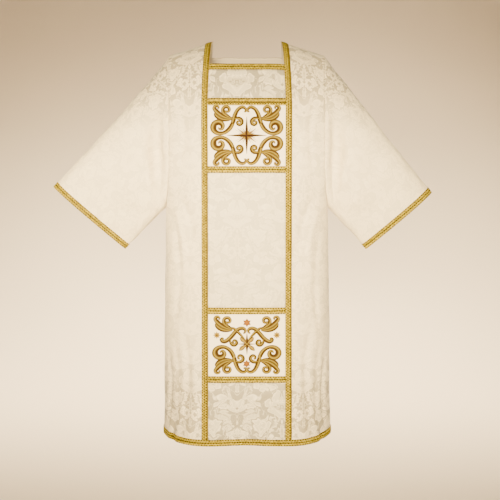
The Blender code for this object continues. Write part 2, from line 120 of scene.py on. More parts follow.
# Listed creases: soft lines from one place to another, negative out is a trough.
CREASE_COLUMNS = ("s0", "z0", "s1", "z1", "width", "out")
FRONT_CREASES = (
    (-0.100, -0.112, 0.030, -0.106, 0.0085, -0.0024),
    (-0.060, -0.128, 0.070, -0.134, 0.0110, 0.0016),
    (-0.090, -0.738, 0.075, -0.728, 0.0100, -0.0017),
    (-0.070, -0.762, 0.095, -0.768, 0.0080, -0.0013),
    (-0.020, -0.700, 0.110, -0.706, 0.0120, 0.0012),
    (0.225, -0.470, 0.160, -0.640, 0.0130, -0.0030),
    (-0.228, -0.460, -0.165, -0.620, 0.0140, -0.0028),
    (0.235, -0.520, 0.195, -0.700, 0.0100, 0.0022),
    (-0.238, -0.510, -0.200, -0.720, 0.0110, 0.0020),
    (0.215, -0.150, 0.212, -0.420, 0.0100, -0.0020),
    (-0.213, -0.140, -0.210, -0.400, 0.0110, -0.0022),
    (0.168, -0.060, 0.190, -0.210, 0.0130, -0.0018),
    (-0.160, -0.050, -0.186, -0.220, 0.0130, -0.0020),
    (0.205, -0.880, 0.212, -1.250, 0.0120, -0.0034),
    (-0.200, -0.900, -0.214, -1.250, 0.0130, -0.0036),
    (0.178, -1.020, 0.182, -1.250, 0.0100, 0.0020),
    (-0.176, -0.990, -0.180, -1.250, 0.0100, 0.0022),
    (0.275, -0.980, 0.280, -1.250, 0.0080, -0.0034),
    (-0.276, -0.960, -0.284, -1.250, 0.0085, -0.0032),
    (-0.045, -1.085, -0.055, -1.235, 0.0140, 0.0016),
    (0.238, -0.600, 0.240, -0.930, 0.0100, -0.0024),
    (-0.237, -0.560, -0.236, -0.900, 0.0110, -0.0026),
    (0.243, -0.940, 0.247, -1.250, 0.0110, -0.0034),
    (-0.240, -0.920, -0.246, -1.250, 0.0120, -0.0034),
    (-0.030, -1.205, 0.090, -1.105, 0.0110, -0.0020),
    (-0.025, -1.170, 0.095, -1.070, 0.0130, 0.0020),
    (0.060, -1.100, 0.050, -1.240, 0.0150, -0.0015),
)
BACK_CREASES = (
    (-0.170, -0.210, -0.110, -0.560, 0.0150, -0.0036),
    (0.175, -0.190, 0.125, -0.520, 0.0150, -0.0032),
    (-0.120, -0.110, 0.110, -0.118, 0.0120, -0.0022),
    (0.225, -0.480, 0.150, -0.680, 0.0140, -0.0034),
    (-0.228, -0.470, -0.150, -0.660, 0.0140, -0.0036),
    (-0.040, -0.620, -0.048, -1.250, 0.0130, 0.0030),
    (0.070, -0.700, 0.078, -1.250, 0.0150, -0.0038),
    (0.165, -0.850, 0.172, -1.250, 0.0120, 0.0032),
    (-0.150, -0.800, -0.155, -1.250, 0.0130, -0.0030),
    (0.270, -0.900, 0.276, -1.250, 0.0090, -0.0036),
    (-0.245, -0.950, -0.250, -1.250, 0.0090, -0.0034),
)
# The same on the sleeves: along from the seam to the cuff, down from the top edge to the underarm seam.
SLEEVE_CREASE_COLUMNS = ("along0", "down0", "along1", "down1", "width", "out")
SLEEVE_CREASES = (
    (0.02, 0.80, 0.30, 0.42, 0.050, -0.0030),
    (0.112, 0.34, 0.156, 0.90, 0.070, -0.0090),
    (0.250, 0.44, 0.290, 0.84, 0.070, 0.0030),
    (0.06, 0.93, 0.42, 0.60, 0.045, 0.0024),
    (0.10, 0.16, 0.62, 0.20, 0.060, -0.0016),
    (0.45, 0.86, 0.80, 0.62, 0.050, -0.0022),
    (0.55, 0.40, 0.92, 0.34, 0.060, 0.0014),
)
CREASE_DEPTH = 1.6  # how much deeper than the tables say
SEAM_DIP, SEAM_WIDTH = 0.0011, 0.0035  # how a seam draws the cloth in
RIPPLE = 0.0007


def table_row(columns, row):
    return dict(zip(columns, row, strict=True))


def smooth(t):
    t = np.clip(t, 0.0, 1.0)
    return t * t * (3 - 2 * t)


def unit(vectors):
    length = np.linalg.norm(vectors, axis=-1, keepdims=True)
    return vectors / np.maximum(length, 1e-12)


def read_table(columns, rows, z, name):
    """A column of a table whose rows go down in z, with a monotone curve between its rows."""
    heights = [-table_row(columns, row)["z"] for row in rows]
    values = [table_row(columns, row)[name] for row in rows]
    at = min(max(-z, heights[0]), heights[-1])
    k = min(sum(h <= at for h in heights), len(heights) - 1) - 1
    steps = np.diff(values) / np.diff(heights)

    def slope(i):
        before, after = steps[max(i - 1, 0)], steps[min(i, len(steps) - 1)]
        if i in (0, len(steps)):
            return after
        return 0.0 if before * after <= 0 else 2 * before * after / (before + after)

    span = heights[k + 1] - heights[k]
    t = (at - heights[k]) / span
    return (
        values[k] * (1 + 2 * t) * (1 - t) ** 2
        + values[k + 1] * t * t * (3 - 2 * t)
        + slope(k) * span * t * (1 - t) ** 2
        - slope(k + 1) * span * t * t * (1 - t)
    )


# ---------------------------------------------------------------- the body's skin
SECTIONS_MADE = {}


def quarter_section(face, z):
    """A quarter of the section at z, from the centre line to the side: (length round, x, y)."""
    key = (face, round(z, 6))
    if key not in SECTIONS_MADE:
        size = {name: read_table(SECTION_COLUMNS, SECTIONS, z, name) for name in SECTION_COLUMNS[1:]}
        depth = size["front"] if face < 0 else size["back"]
        angle = np.linspace(0, math.pi / 2, 361)
        x = size["half"] * np.sin(angle) ** (2 / size["square"])
        y = face * depth * np.abs(np.cos(angle)) ** (2 / size["square"])
        y[-1] = 0.0
        length = np.concatenate([[0], np.cumsum(np.hypot(np.diff(x), np.diff(y)))])
        SECTIONS_MADE[key] = (length, x, y)
    return SECTIONS_MADE[key]


def section_at(face, z, s):
    length, x, y = quarter_section(face, z)
    s_in = np.minimum(np.abs(s), length[-1])
    return np.sign(s) * np.interp(s_in, length, x), np.interp(s_in, length, y)


def roll_share(z):
    """How far a level is from the shoulder seam, 0, to the chest, 1."""
    if z <= CHEST_Z:
        return 1.0
    height = max(0.0, (z - CHEST_Z) / (WALL - CHEST_Z))
    return math.acos(min(1.0, height ** (CHEST_ROUND / 2))) * 2 / math.pi


def edge_of_panel(face, z):
    """How far round from the centre line the panel reaches at z."""
    length, x, _ = quarter_section(face, min(z, CHEST_Z))
    if z <= UNDERARM_Z:
        return float(length[-1])
    seam_x = read_table(ARMHOLE_COLUMNS, ARMHOLE, max(UNDERARM_Z, min(z, CHEST_Z)), "x")
    at_seam = float(np.interp(seam_x, x, length))
    return SHOULDER_TIP_X + (at_seam - SHOULDER_TIP_X) * roll_share(z)


def fold_offset(face, s, z):
    out = np.zeros_like(s)
    for row in FRONT_FOLDS if face < 0 else BACK_FOLDS:
        fold = table_row(FOLD_COLUMNS, row)
        if z < fold["top_z"]:
            down = (fold["top_z"] - z) / (fold["top_z"] - HEM_Z)
            centre = fold["at"] + (fold["hem_at"] - fold["at"]) * down
            out += fold["out"] * smooth(down) * np.exp(-(((s - centre) / fold["width"]) ** 2))
    return out


def body_level(face, s, z):
    """The outer skin's points at the level z, at the places s round from the centre line."""
    if z > CHEST_Z:
        roll = roll_share(z)
        x_chest, y_chest = section_at(face, CHEST_Z, s)
        away = math.sin(math.pi / 2 * roll) ** (2 / CHEST_ROUND)
        up = math.cos(math.pi / 2 * roll) ** (2 / CHEST_ROUND)
        shoulder = WALL - SHOULDER_SLOPE * np.maximum(0.0, np.abs(s) - NECK_X)
        y = face * GAP / 2 + y_chest * away
        return np.stack([s + (x_chest - s) * roll, y, CHEST_Z + (shoulder - CHEST_Z) * up], axis=1)
    x, y = section_at(face, z, s)
    reach = quarter_section(face, z)[0][-1]
    step = 0.004
    x0, y0 = section_at(face, z, s - step)
    x1, y1 = section_at(face, z, s + step)
    along = np.maximum(np.hypot(x1 - x0, y1 - y0), 1e-9)
    out = fold_offset(face, s, z) * smooth((reach - np.abs(s)) / 0.03)
    x = x - face * (y1 - y0) / along * out
    y = y + face * (x1 - x0) / along * out
    rise = SIDE_RISE * float(smooth((RISE_FROM_Z - z) / (RISE_FROM_Z - HEM_Z)))
    return np.stack([x, face * GAP / 2 + y, z + rise * np.minimum(1.0, np.abs(s) / reach) ** 4], axis=1)


def column_half(z):
    return COLUMN_HALF_TOP + (COLUMN_HALF - COLUMN_HALF_TOP) * roll_share(z)


# ---------------------------------------------------------------- fine grids of cloth
IN_COLUMN, TAPE_STEPS, OUTER_STEPS = 30, 5, 42  # grid steps over half the column, the galloon and the rest
OUT_COLUMN = IN_COLUMN + TAPE_STEPS
CENTRE = OUT_COLUMN + OUTER_STEPS
COLUMNS = 2 * CENTRE + 1
ROW_STEP = 0.0062


def level_length(z):
    """How far down the cloth a level is from the shoulder seam."""
    return ROLL_LENGTH * roll_share(z) + CHEST_Z - min(z, CHEST_Z)


def level_at(length):
    if length >= ROLL_LENGTH:
        return CHEST_Z - (length - ROLL_LENGTH)
    up = math.cos(math.pi / 2 * length / ROLL_LENGTH) ** (2 / CHEST_ROUND)
    return CHEST_Z + (WALL - CHEST_Z) * up


def fine_levels(levels):
    """Levels about ROW_STEP apart, through every named one, and the rows that the names are at."""
    names = list(levels)
    heights, rows = [levels[names[0]]], {names[0]: 0}
    for name in names[1:]:
        start, end = level_length(heights[-1]), level_length(levels[name])
        count = max(1, math.ceil((end - start) / ROW_STEP))
        heights += [level_at(start + (end - start) * k / count) for k in range(1, count)]
        heights.append(levels[name])
        rows[name] = len(heights) - 1
    return heights, rows


def grid_normals(points, closed=False):
    """Unit normals of a grid of points whose rows go down and whose columns go round to the left."""
    round_it = np.roll(points, -1, axis=1) - np.roll(points, 1, axis=1)
    return unit(np.cross(np.gradient(points, axis=0), round_it if closed else np.gradient(points, axis=1)))


def crease_field(s, z, creases, columns):
    """How far the hand-laid creases push the cloth out at each place."""
    out = np.zeros_like(s)
    for row in creases:
        s0, z0, s1, z1, width, depth = (table_row(columns, row)[name] for name in columns)
        run = np.hypot(s1 - s0, z1 - z0)
        ds, dz = (s1 - s0) / run, (z1 - z0) / run
        t = ((s - s0) * ds + (z - z0) * dz) / run
        bow = 0.12 * run * np.sin(math.pi * np.clip(t, 0, 1))
        off = (s - s0) * dz - (z - z0) * ds - bow * math.copysign(0.5, s0 + 0.37 * z0 + 0.2)
        ends = smooth((t + 0.12) / 0.38) * smooth((1.12 - t) / 0.38)
        out += CREASE_DEPTH * depth * ends * np.exp(-((off / width) ** 2))
    return out


def ripple(u, v, phase):
    """The slight unevenness of hanging cloth."""
    return RIPPLE * (
        np.sin(u * 43 + 1.3 * np.sin(v * 11 + phase) + phase)
        + 0.7 * np.sin(u * 71 - v * 17 + 2.1 * phase)
        + 0.6 * np.sin(v * 39 + 1.7 * np.sin(u * 19 - phase))
    )


def seam_dip(away, width=SEAM_WIDTH):
    return SEAM_DIP * np.exp(-((away / width) ** 2))


class Cloth:
    """A grid of a cloth's outer skin, with its normals and its places on the flat cloth."""

    def __init__(self, points, flat, closed=False):
        self.points, self.flat, self.closed = points, flat, closed
        self.normals = grid_normals(points, closed)

    def push(self, out):
        self.points = self.points + self.normals * out[..., None]
        self.normals = grid_normals(self.points, self.closed)

    def cut(self):
        """Width and length of the flat cloth that it is cut from."""
        return tuple(round(float(np.ptp(self.flat[..., k])), 3) for k in (0, 1))

    def patch(self, rows, columns):
        place = np.ix_(list(rows), list(columns))
        return self.points[place], self.normals[place], self.flat[place]


def half_columns(face, z):
    inner = np.linspace(0, column_half(z), IN_COLUMN + 1)
    tape = inner[-1] + GALLOON * np.linspace(0, 1, TAPE_STEPS + 1)[1:]
    share = np.linspace(0, 1, OUTER_STEPS + 1)[1:]
    outer = tape[-1] + (1 - (1 - share) ** 1.25) * (edge_of_panel(face, z) - tape[-1])
    return np.concatenate([inner, tape, outer])


def make_panel(face, levels, creases, phase):
    heights, rows = fine_levels(levels)
    halves = [half_columns(face, z) for z in heights]
    s = np.array([np.concatenate([-half[:0:-1], half]) for half in halves])
    points = np.array([body_level(face, *place) for place in zip(s, heights)])
    z = np.array(heights)[:, None] + 0 * s
    down = np.array([level_length(height) for height in heights])[:, None] + 0 * s
    flat = np.stack([s, -down], axis=2)
    if face > 0:  # so that its columns too go round to the left, seen from outside
        points, s, z, flat = points[:, ::-1], s[:, ::-1], z[:, ::-1], flat[:, ::-1]
    cloth = Cloth(points, flat)
    out = crease_field(s, z, creases, CREASE_COLUMNS) + ripple(s, z, phase)
    to_edge = np.abs(np.abs(s) - np.abs(s[:, :1]))
    held = smooth(to_edge / 0.022) * smooth(down / 0.03)
    cloth.push(out * held - seam_dip(to_edge) - seam_dip(down))
    return cloth, np.array(heights), rows


front, FRONT_Z, FRONT_ROWS = make_panel(-1, FRONT_LEVELS, FRONT_CREASES, 0.4)
back, BACK_Z, BACK_ROWS = make_panel(1, BACK_LEVELS, BACK_CREASES, 2.9)


# ---------------------------------------------------------------- the sleeves' skin
def armhole_loop(side):
    """The seam between body and sleeve, from the shoulder down the front and up the back."""
    front_column = CENTRE + side * CENTRE
    bottom = FRONT_ROWS["underarm"]
    down_front = front.points[: bottom + 1, front_column].copy()
    up_back = back.points[BACK_ROWS["underarm"] :: -1, COLUMNS - 1 - front_column].copy()
    down_front[bottom] = (down_front[bottom] + up_back[0]) / 2
    down_front[0] = (down_front[0] + up_back[-1]) / 2
    return np.concatenate([down_front, up_back[1:-1]]), bottom


def cuff_loop(cuff, downs, faces):
    (top_x, top_z), (bottom_x, bottom_z) = cuff["top"], cuff["bottom"]
    fall = (1 - np.cos(math.pi * downs)) / 2
    half = cuff["open"] * np.sin(math.pi * downs) * (1 - CUFF_TAPER * fall)
    x = top_x + (bottom_x - top_x) * fall
    return np.stack([cuff["side"] * x, faces * half, top_z + (bottom_z - top_z) * fall], axis=1)


SLEEVE_STEPS, BAND_STEPS = 62, 4


def make_sleeve(cuff):
    """Rings from the armhole to the cuff, the last few of them under the galloon."""
    side = cuff["side"]
    loop, bottom = armhole_loop(side)
    steps = np.linalg.norm(np.roll(loop, -1, axis=0) - loop, axis=1)
    to_bottom = np.concatenate([[0], np.cumsum(steps[:bottom])]) / steps[:bottom].sum()
    downs = np.concatenate([to_bottom, 1 - np.cumsum(steps[bottom:])[:-1] / steps[bottom:].sum()])
    faces = np.where(np.arange(len(loop)) <= bottom, -1.0, 1.0)
    end = cuff_loop(cuff, downs, faces)
    length = np.linalg.norm(end - loop, axis=1)
    to_band = np.linspace(0, 1, SLEEVE_STEPS + 1)[:, None] * (1 - GALLOON / length)
    in_band = 1 - GALLOON / length * np.linspace(1, 0, BAND_STEPS + 1)[1:, None]
    shares = np.concatenate([to_band, in_band])
    points = loop + (end - loop) * shares[..., None]
    down = downs + 0 * shares
    fade = smooth(shares / 0.16) * smooth((1 - shares) / 0.2)
    fold = np.zeros_like(shares)
    for row in SLEEVE_FOLDS:
        f = table_row(SLEEVE_FOLD_COLUMNS, row)
        centre = f["along_top"] + (f["along_bottom"] - f["along_top"]) * down
        across = np.exp(-(((shares - centre) / f["width"]) ** 2))
        fold += f["out"] * across * np.exp(-(((down - f["down"]) / f["reach"]) ** 2))
    points[..., 1] += faces * fold * fade
    dip = np.sin(math.pi * shares ** (math.log(0.5) / math.log(SAG_AT)))
    points[..., 2] -= cuff["sag"] * dip * (1 - down) ** 2
    # On the flat cloth: along the top edge from the shoulder, and round from it, the back's side behind.
    tip = np.array([side * SHOULDER_TIP_X, 0.0, loop[0, 2]])
    along = unit(np.array([side * cuff["top"][0], 0.0, cuff["top"][1]]) - tip)
    across = np.array([side * -abs(along[2]), 0.0, -abs(along[0])])
    ring = np.stack([(points - tip) @ across, points[..., 1]], axis=2)
    ring = np.linalg.norm(np.diff(np.concatenate([ring, ring[:, :1]], axis=1), axis=1), axis=2)
    front_side, back_side = np.cumsum(ring[:, :bottom], axis=1), np.cumsum(ring[:, :bottom:-1], axis=1)
    from_top = np.concatenate([0 * ring[:, :1], front_side, back_side[:, ::-1]], axis=1)
    flat = np.stack([(points - tip) @ along, -faces * from_top], axis=2)
    if side > 0:
        order = -np.arange(len(loop)) % len(loop)
        points, flat, shares, down = (grid[:, order] for grid in (points, flat, shares, down))
    cloth = Cloth(points, flat, closed=True)
    creases = crease_field(shares, down, SLEEVE_CREASES, SLEEVE_CREASE_COLUMNS)
    from_seam = shares * np.roll(length[::-1], 1) if side > 0 else shares * length
    held = smooth(shares / 0.10) * smooth((1 - shares) / 0.10)
    out = creases + ripple(flat[..., 0] + 0.3, flat[..., 1], 1.1 + side)
    cloth.push(out * held - seam_dip(from_seam) - 0.7 * seam_dip(np.abs(1 - down) / 2, SEAM_WIDTH * 0.8))
    return cloth, bottom


sleeves = {name: make_sleeve(cuff) for name, cuff in CUFFS.items()}


def share_normals(*places):
    """One normal for the walls that meet at a seam: (cloth, rows, columns), rows and columns arrays."""
    total = sum(cloth.normals[rows, columns] for cloth, rows, columns in places)
    for cloth, rows, columns in places:
        cloth.normals[rows, columns] = unit(total)


every = np.arange(COLUMNS)
share_normals((front, 0 * every, every), (back, 0 * every, COLUMNS - 1 - every))
for name, (cloth, bottom) in sleeves.items():
    side = CUFFS[name]["side"]
    column, behind, turn = CENTRE + side * CENTRE, CENTRE - side * CENTRE, -side
    rows = np.arange(bottom + 1)
    share_normals((front, rows, column + 0 * rows), (cloth, 0 * rows, turn * rows))
    rows = np.arange(BACK_ROWS["underarm"] + 1)
    share_normals((back, rows, behind + 0 * rows), (cloth, 0 * rows, -turn * rows))
    below_front = np.arange(bottom + 1, len(FRONT_Z))
    below_back = [int(np.argmin(np.abs(BACK_Z - z))) for z in FRONT_Z[below_front]]
    front.normals[below_front, column] = unit(
        front.normals[below_front, column] + back.normals[below_back, behind]
    )
    below = slice(BACK_ROWS["underarm"] + 1, None)
    back.normals[below, behind] = unit(back.normals[below, behind] * (1, 0, 1))
    along = np.roll(cloth.points[0], -1, axis=0) - np.roll(cloth.points[0], 1, axis=0)
    cloth.points[0] += unit(np.cross(along, cloth.normals[0])) * GAP


# ---------------------------------------------------------------- materials
class Tone:
    """A value or a colour on its way through a material. Arithmetic on it adds Math nodes."""

    def __init__(self, paint, socket):
        self.paint, self.socket = paint, socket

    def math(self, operation, *others, clamp=False, turned=False):
        values = (*others, self) if turned else (self, *others)
        return self.paint.node("ShaderNodeMath", {"operation": operation, "use_clamp": clamp}, values)

    def __add__(self, other):
        return self.math("ADD", other)

    def __sub__(self, other):
        return self.math("SUBTRACT", other)

    def __mul__(self, other):
        return self.math("MULTIPLY", other)

    def __truediv__(self, other):
        return self.math("DIVIDE", other)

    def __rsub__(self, other):
        return self.math("SUBTRACT", other, turned=True)

    def __rtruediv__(self, other):
        return self.math("DIVIDE", other, turned=True)

    __radd__, __rmul__ = __add__, __mul__

    def sine(self):
        return self.math("SINE")

    def size(self):
        return self.math("ABSOLUTE")

    def clamped(self):
        return self.math("ADD", 0.0, clamp=True)

    def at_most(self, other):
        return self.math("MINIMUM", other)

    def at_least(self, other):
        return self.math("MAXIMUM", other)

    def split(self):
        return self.paint.node("ShaderNodeSeparateXYZ", None, (self,), outputs=(0, 1, 2))


class Paint:
    """A material in the making, round one Principled shader."""

    def __init__(self, name, **fixed):
        self.material = bpy.data.materials.new(name)
        self.material.use_nodes = True
        self.nodes = self.material.node_tree.nodes
        self.links = self.material.node_tree.links
        self.shader = self.nodes["Principled BSDF"]
        for key, value in fixed.items():
            self.set(key.replace("_", " ").title().replace("Ior", "IOR"), value)

    def feed(self, target, value):
        if isinstance(value, Tone):
            self.links.new(value.socket, target)
        elif isinstance(value, tuple):
            target.default_value = (*value, 1.0)[: len(target.default_value)]
        else:
            target.default_value = value

    def set(self, socket, value):
        self.feed(self.shader.inputs[socket], value)

    def node(self, kind, settings=None, values=(), outputs=0):
        """Any node: its settings first, then the values or links of its sockets."""
        node = self.nodes.new(kind)
        for key, value in (settings or {}).items():
            if key == "stops":
                ramp = node.color_ramp.elements
                for k, (at, colour) in enumerate(value):
                    stop = ramp[k] if k < 2 else ramp.new(at)
                    stop.position, stop.color = at, (*colour, 1.0)
            else:
                setattr(node, key, value)
        for key, value in values.items() if isinstance(values, dict) else enumerate(values):
            self.feed(node.inputs[key], value)
        if isinstance(outputs, tuple):
            return tuple(Tone(self, node.outputs[k]) for k in outputs)
        return Tone(self, node.outputs[outputs])

    def mix(self, factor, a, b):
        """A colour between a and b."""
        return self.node("ShaderNodeMix", {"data_type": "RGBA"}, {0: factor, 6: a, 7: b}, outputs=2)

    def flat(self, layer):
        """The place on the flat cloth, in metres: (across, up)."""
        return self.node("ShaderNodeUVMap", {"uv_map": layer}).split()[:2]

    def place(self):
        return self.node("ShaderNodeTexCoord", outputs=3)

    def noise(self, where, scale, detail=2.0, roughness=0.5, outputs=0):
        values = {"Vector": where, "Scale": scale, "Detail": detail, "Roughness": roughness}
        return self.node("ShaderNodeTexNoise", None, values, outputs)

    def vector(self, x, y, z=0.0):
        return self.node("ShaderNodeCombineXYZ", None, (x, y, z))

    def bump(self, height, distance, strength=1.0, under=()):
        """Raises the surface, over what an earlier bump, under, has raised."""
        values = {"Height": height, "Distance": distance, "Strength": strength, **dict(under)}
        bump = self.node("ShaderNodeBump", None, values)
        self.set("Normal", bump)
        return bump


# The damask's figure: half of one spray of flowers, in millimetres, mirrored about its middle.
# Sprays stand REPEAT apart, and every second column of them is dropped by half.
REPEAT_X, REPEAT_Y = 240.0, 340.0
FLOWER_COLUMNS = ("x", "y", "size", "petals", "turn", "heart")
FIGURE_FLOWERS = (
    (0, 8, 46, 7, 0.0, 8.0),
    (0, 92, 27, 5, 0.0, 4.5),
    (50, 64, 24, 5, 0.5, 4.0),
    (90, 18, 29, 6, 1.1, 5.0),
    (58, -44, 27, 5, 0.2, 4.5),
    (19, -88, 20, 5, 0.9, 3.5),
)
LEAF_COLUMNS = ("x", "y", "turn", "length", "width", "bend", "notches")
FIGURE_LEAVES = (
    (66, -4, 118, 60, 18, -0.0085, 6),
    (70, 44, 92, 54, 16, 0.0110, 5),
    (78, -50, 84, 48, 16, -0.0110, 5),
    (0, -34, 180, 48, 17, 0.0000, 5),
    (36, -66, 122, 44, 15, 0.0120, 4),
    (26, 40, 20, 66, 14, 0.0100, 6),
    (26, -28, 150, 48, 15, -0.0120, 5),
    (0, -98, 180, 36, 11, 0.0000, 4),
)


def damask_flower(x, y, flower):
    """Two rings of petals about a heart, with lines between them and lighter edges."""
    dx, dy = x - flower["x"], y - flower["y"]
    far = (dx * dx + dy * dy).math("SQRT")
    angle = (dx.math("ARCTAN2", dy) + far * (0.5 / flower["size"])) * (flower["petals"] / 2) + flower["turn"]
    outer_lobe = angle.math("COSINE").size()
    inner_lobe = angle.sine().size()
    size = flower["size"]
    edge = outer_lobe.math("POWER", 0.6) * (0.40 * size) + 0.62 * size
    inner_edge = inner_lobe.math("POWER", 0.6) * (0.22 * size) + 0.32 * size
    within = far.math("LESS_THAN", inner_edge)
    lobe = outer_lobe + (inner_lobe - outer_lobe) * within
    to_edge = (edge - far).at_most((far - inner_edge).size() + 0.4)
    petals = (to_edge * 0.7).clamped() * (lobe * far * 0.42 - 0.4).clamped()
    rim = (1.0 - (to_edge - 2.6).size() * 0.38).clamped()
    heart = ((far - flower["heart"]).size() * 0.9 - 0.5).clamped()
    return petals * heart * (rim * 0.46 + 0.54), far - edge


def damask_leaf(x, y, leaf):
    """A notched leaf with its veins cut out of it and a lighter edge."""
    turn = math.radians(leaf["turn"])
    dx, dy = x - leaf["x"], y - leaf["y"]
    along = dx * math.sin(turn) + dy * math.cos(turn)
    aside = (dx * math.cos(turn) - dy * math.sin(turn) + along * along * leaf["bend"]).size()
    share = (along / leaf["length"]).clamped()
    notch = (share * (leaf["notches"] * math.pi)).sine().size() * 0.4
    half = (share.math("POWER", 0.8) * math.pi).sine() * leaf["width"] * (1.0 - notch)
    vein = ((aside - 0.5) * 0.9).clamped()
    side_vein = (((along - aside * 0.9) * (math.pi / 8.5)).sine().size() * 5.0 - 0.7).clamped()
    rim = (1.0 - (half - aside - 2.2).size() * 0.5).clamped()
    return ((half - aside) * 0.55).clamped() * vein * (side_vein * 0.24 + 0.34 + rim * 0.42)


def damask_figure(paint, across, up, swing):
    """1 on the figure and 0 on the ground, with the veins and the edges of the petals cut out of it."""
    u, v = across * 1000.0, up * 1000.0

    def centred(value, repeat, shift):
        share = (value + (repeat * shift)) / repeat
        return (share - share.math("FLOOR") - 0.5) * repeat

    x_a, y_a = centred(u, REPEAT_X, 0.5), centred(v, REPEAT_Y, 0.5)
    x_b, y_b = centred(u, REPEAT_X, 0.0), centred(v, REPEAT_Y, 0.0)
    nearer = (x_a * x_a + y_a * y_a).math("LESS_THAN", x_b * x_b + y_b * y_b)
    x = (x_b + (x_a - x_b) * nearer).size()
    y = y_b + (y_a - y_b) * nearer
    # The petals and leaves curl: the same way in every spray, so that the repeat holds.
    for scale, reach in ((0.021, swing), (0.055, swing * 0.42), (0.16, swing * 0.13)):
        curl = paint.noise(paint.vector(x, y, 7.0), scale, 0.0, outputs=1)
        red, green, _ = paint.node("ShaderNodeSeparateColor", None, (curl,), outputs=(0, 1, 2))
        x, y = x + (red - 0.5) * reach, y + (green - 0.5) * reach
    flowers = [damask_flower(x, y, table_row(FLOWER_COLUMNS, row)) for row in FIGURE_FLOWERS]
    clear = reduce(Tone.at_most, [away for _, away in flowers])
    flowers = reduce(Tone.at_least, [shape for shape, _ in flowers])
    leaves = reduce(Tone.at_least, [damask_leaf(x, y, table_row(LEAF_COLUMNS, row)) for row in FIGURE_LEAVES])
    tendril = paint.noise(paint.vector(x, y, 3.0), 0.034, 1.0)
    tendril = (1.0 - (tendril - 0.5).size() * 38.0).clamped() * 0.80
    return flowers.at_least(leaves * (clear * 0.6 - 0.8).clamped()).at_least(tendril)


def weave(across, up, pitch):
    """The height of a fine plain weave."""
    warp = (across * (2 * math.pi / pitch)).sine()
    weft = (up * (2 * math.pi / pitch)).sine()
    return warp * weft * 0.5 + 0.5


def damask(name, figure_colour, ground_colour, mirrored, shift, painted_sheen_contrast, swing=34.0, scale=1.0):
    paint = Paint(name, sheen_weight=0.25, sheen_roughness=0.45, specular_ior_level=0.35)
    across, up = paint.flat("flat")
    side = across.size() if mirrored else across
    wander = paint.noise(paint.place(), 9.0, 1.0)
    drift = (wander - 0.5) * 0.006
    figure = damask_figure(
        paint, (side + shift[0] + drift) * scale, (up + shift[1] - drift) * scale, swing
    )
    cloud = paint.noise(paint.place(), 5.5, 3.0, 0.6)
    slub = paint.noise(paint.vector(across * 60.0, up * 900.0), 1.0, 2.0)
    # Painted sheen: the satin of the figure is washed out by height, from the chest to the knee, where the
    # cloth faces the light.
    height = paint.place().split()[2]
    top = ((height + 0.27) * 8.0).clamped()
    foot = ((height + 0.98) * -8.0).clamped()
    # Full figure contrast above the chest and below the knee, less between them: painted sheen.
    clear = (top + foot).clamped() * (1.0 - painted_sheen_contrast) + painted_sheen_contrast
    tone = (figure - 1.0) * clear + 1.0
    ground = paint.mix(cloud, tuple(0.965 * c for c in ground_colour), ground_colour)
    colour = paint.mix(tone.clamped(), ground, figure_colour)
    fleck = paint.mix((slub - 0.35) * 0.5, colour, tuple(0.93 * c for c in figure_colour))
    paint.set("Base Color", fleck)
    paint.set("Roughness", 0.66 - tone * 0.14)
    fine = weave(across, up, 0.0011)
    raised = paint.bump(figure, 0.0009, 0.8)
    paint.bump(fine * 0.35 + slub * 0.5, 0.00022, 0.55, {"Normal": raised})
    return paint.material


CREAM = (0.880, 0.760, 0.530)
GROUND = (0.330, 0.282, 0.190)
# The number after the shift is how much of the figure's contrast the painted sheen leaves from the chest to
# the knee.
damask_cream = damask("cream_damask", CREAM, GROUND, True, (0.062, 0.118), 0.38)
damask_sleeve = damask("sleeve_damask", CREAM, GROUND, False, (0.040, 0.020), 0.28)
damask_column = damask(
    "column_damask", (0.745, 0.655, 0.465), (0.270, 0.238, 0.168), False, (0.030, 0.218), 0.40, 44.0, 0.86
)


def lining_cloth():
    paint = Paint("cream_lining", sheen_weight=0.15, specular_ior_level=0.3)
    across, up = paint.flat("flat")
    soft = paint.noise(paint.place(), 7.0)
    paint.set("Base Color", paint.mix(soft, (0.64, 0.55, 0.42), (0.69, 0.60, 0.46)))
    paint.set("Roughness", 0.72)
    paint.bump(weave(across, up, 0.0009), 0.00015, 0.5)
    return paint.material


def satin_cloth():
    paint = Paint("white_satin", sheen_weight=0.2, specular_ior_level=0.4)
    across, up = paint.flat("flat")
    twill = ((across + up) * (2 * math.pi / 0.0012)).sine() * 0.5 + 0.5
    soft = paint.noise(paint.place(), 24.0, 2.0)
    paint.set("Base Color", paint.mix(soft, (0.870, 0.755, 0.560), (0.900, 0.785, 0.590)))
    paint.set("Roughness", 0.50 + soft * 0.1)
    paint.bump(twill * 0.3 + soft, 0.0003, 0.5)
    return paint.material


def gold_thread(name, dark, bright, roughness):
    """Wound metal thread: fine turns round it, and unevenness from one strand to the next."""
    paint = Paint(name, metallic=0.35, specular_ior_level=0.15)
    where = paint.place()
    x, y, z = where.split()
    uneven = paint.noise(where, 190.0, 2.0, 0.7)
    turns = ((x + z + y * 0.6) * (2 * math.pi / 0.0007)).sine() * 0.5 + 0.5
    paint.set("Base Color", paint.mix(((uneven - 0.36) * 3.6).clamped(), dark, bright))
    paint.set("Roughness", uneven * 0.12 + roughness)
    paint.bump(turns, 0.00018, 0.6)
    return paint.material


lining = lining_cloth()
satin = satin_cloth()
braid_gold = gold_thread("galloon_gold_thread", (0.190, 0.138, 0.006), (0.560, 0.435, 0.030), 0.40)
# Near-black, for the hollows where the strands pass under one another: painted shade.
braid_hollow_shade = gold_thread("galloon_hollow_shade", (0.009, 0.006, 0.001), (0.028, 0.019, 0.001), 0.65)
braid_ground = gold_thread("galloon_ground", (0.070, 0.048, 0.003), (0.150, 0.104, 0.006), 0.50)
braid_edge = gold_thread("galloon_edge_thread", (0.300, 0.200, 0.016), (0.780, 0.570, 0.110), 0.45)
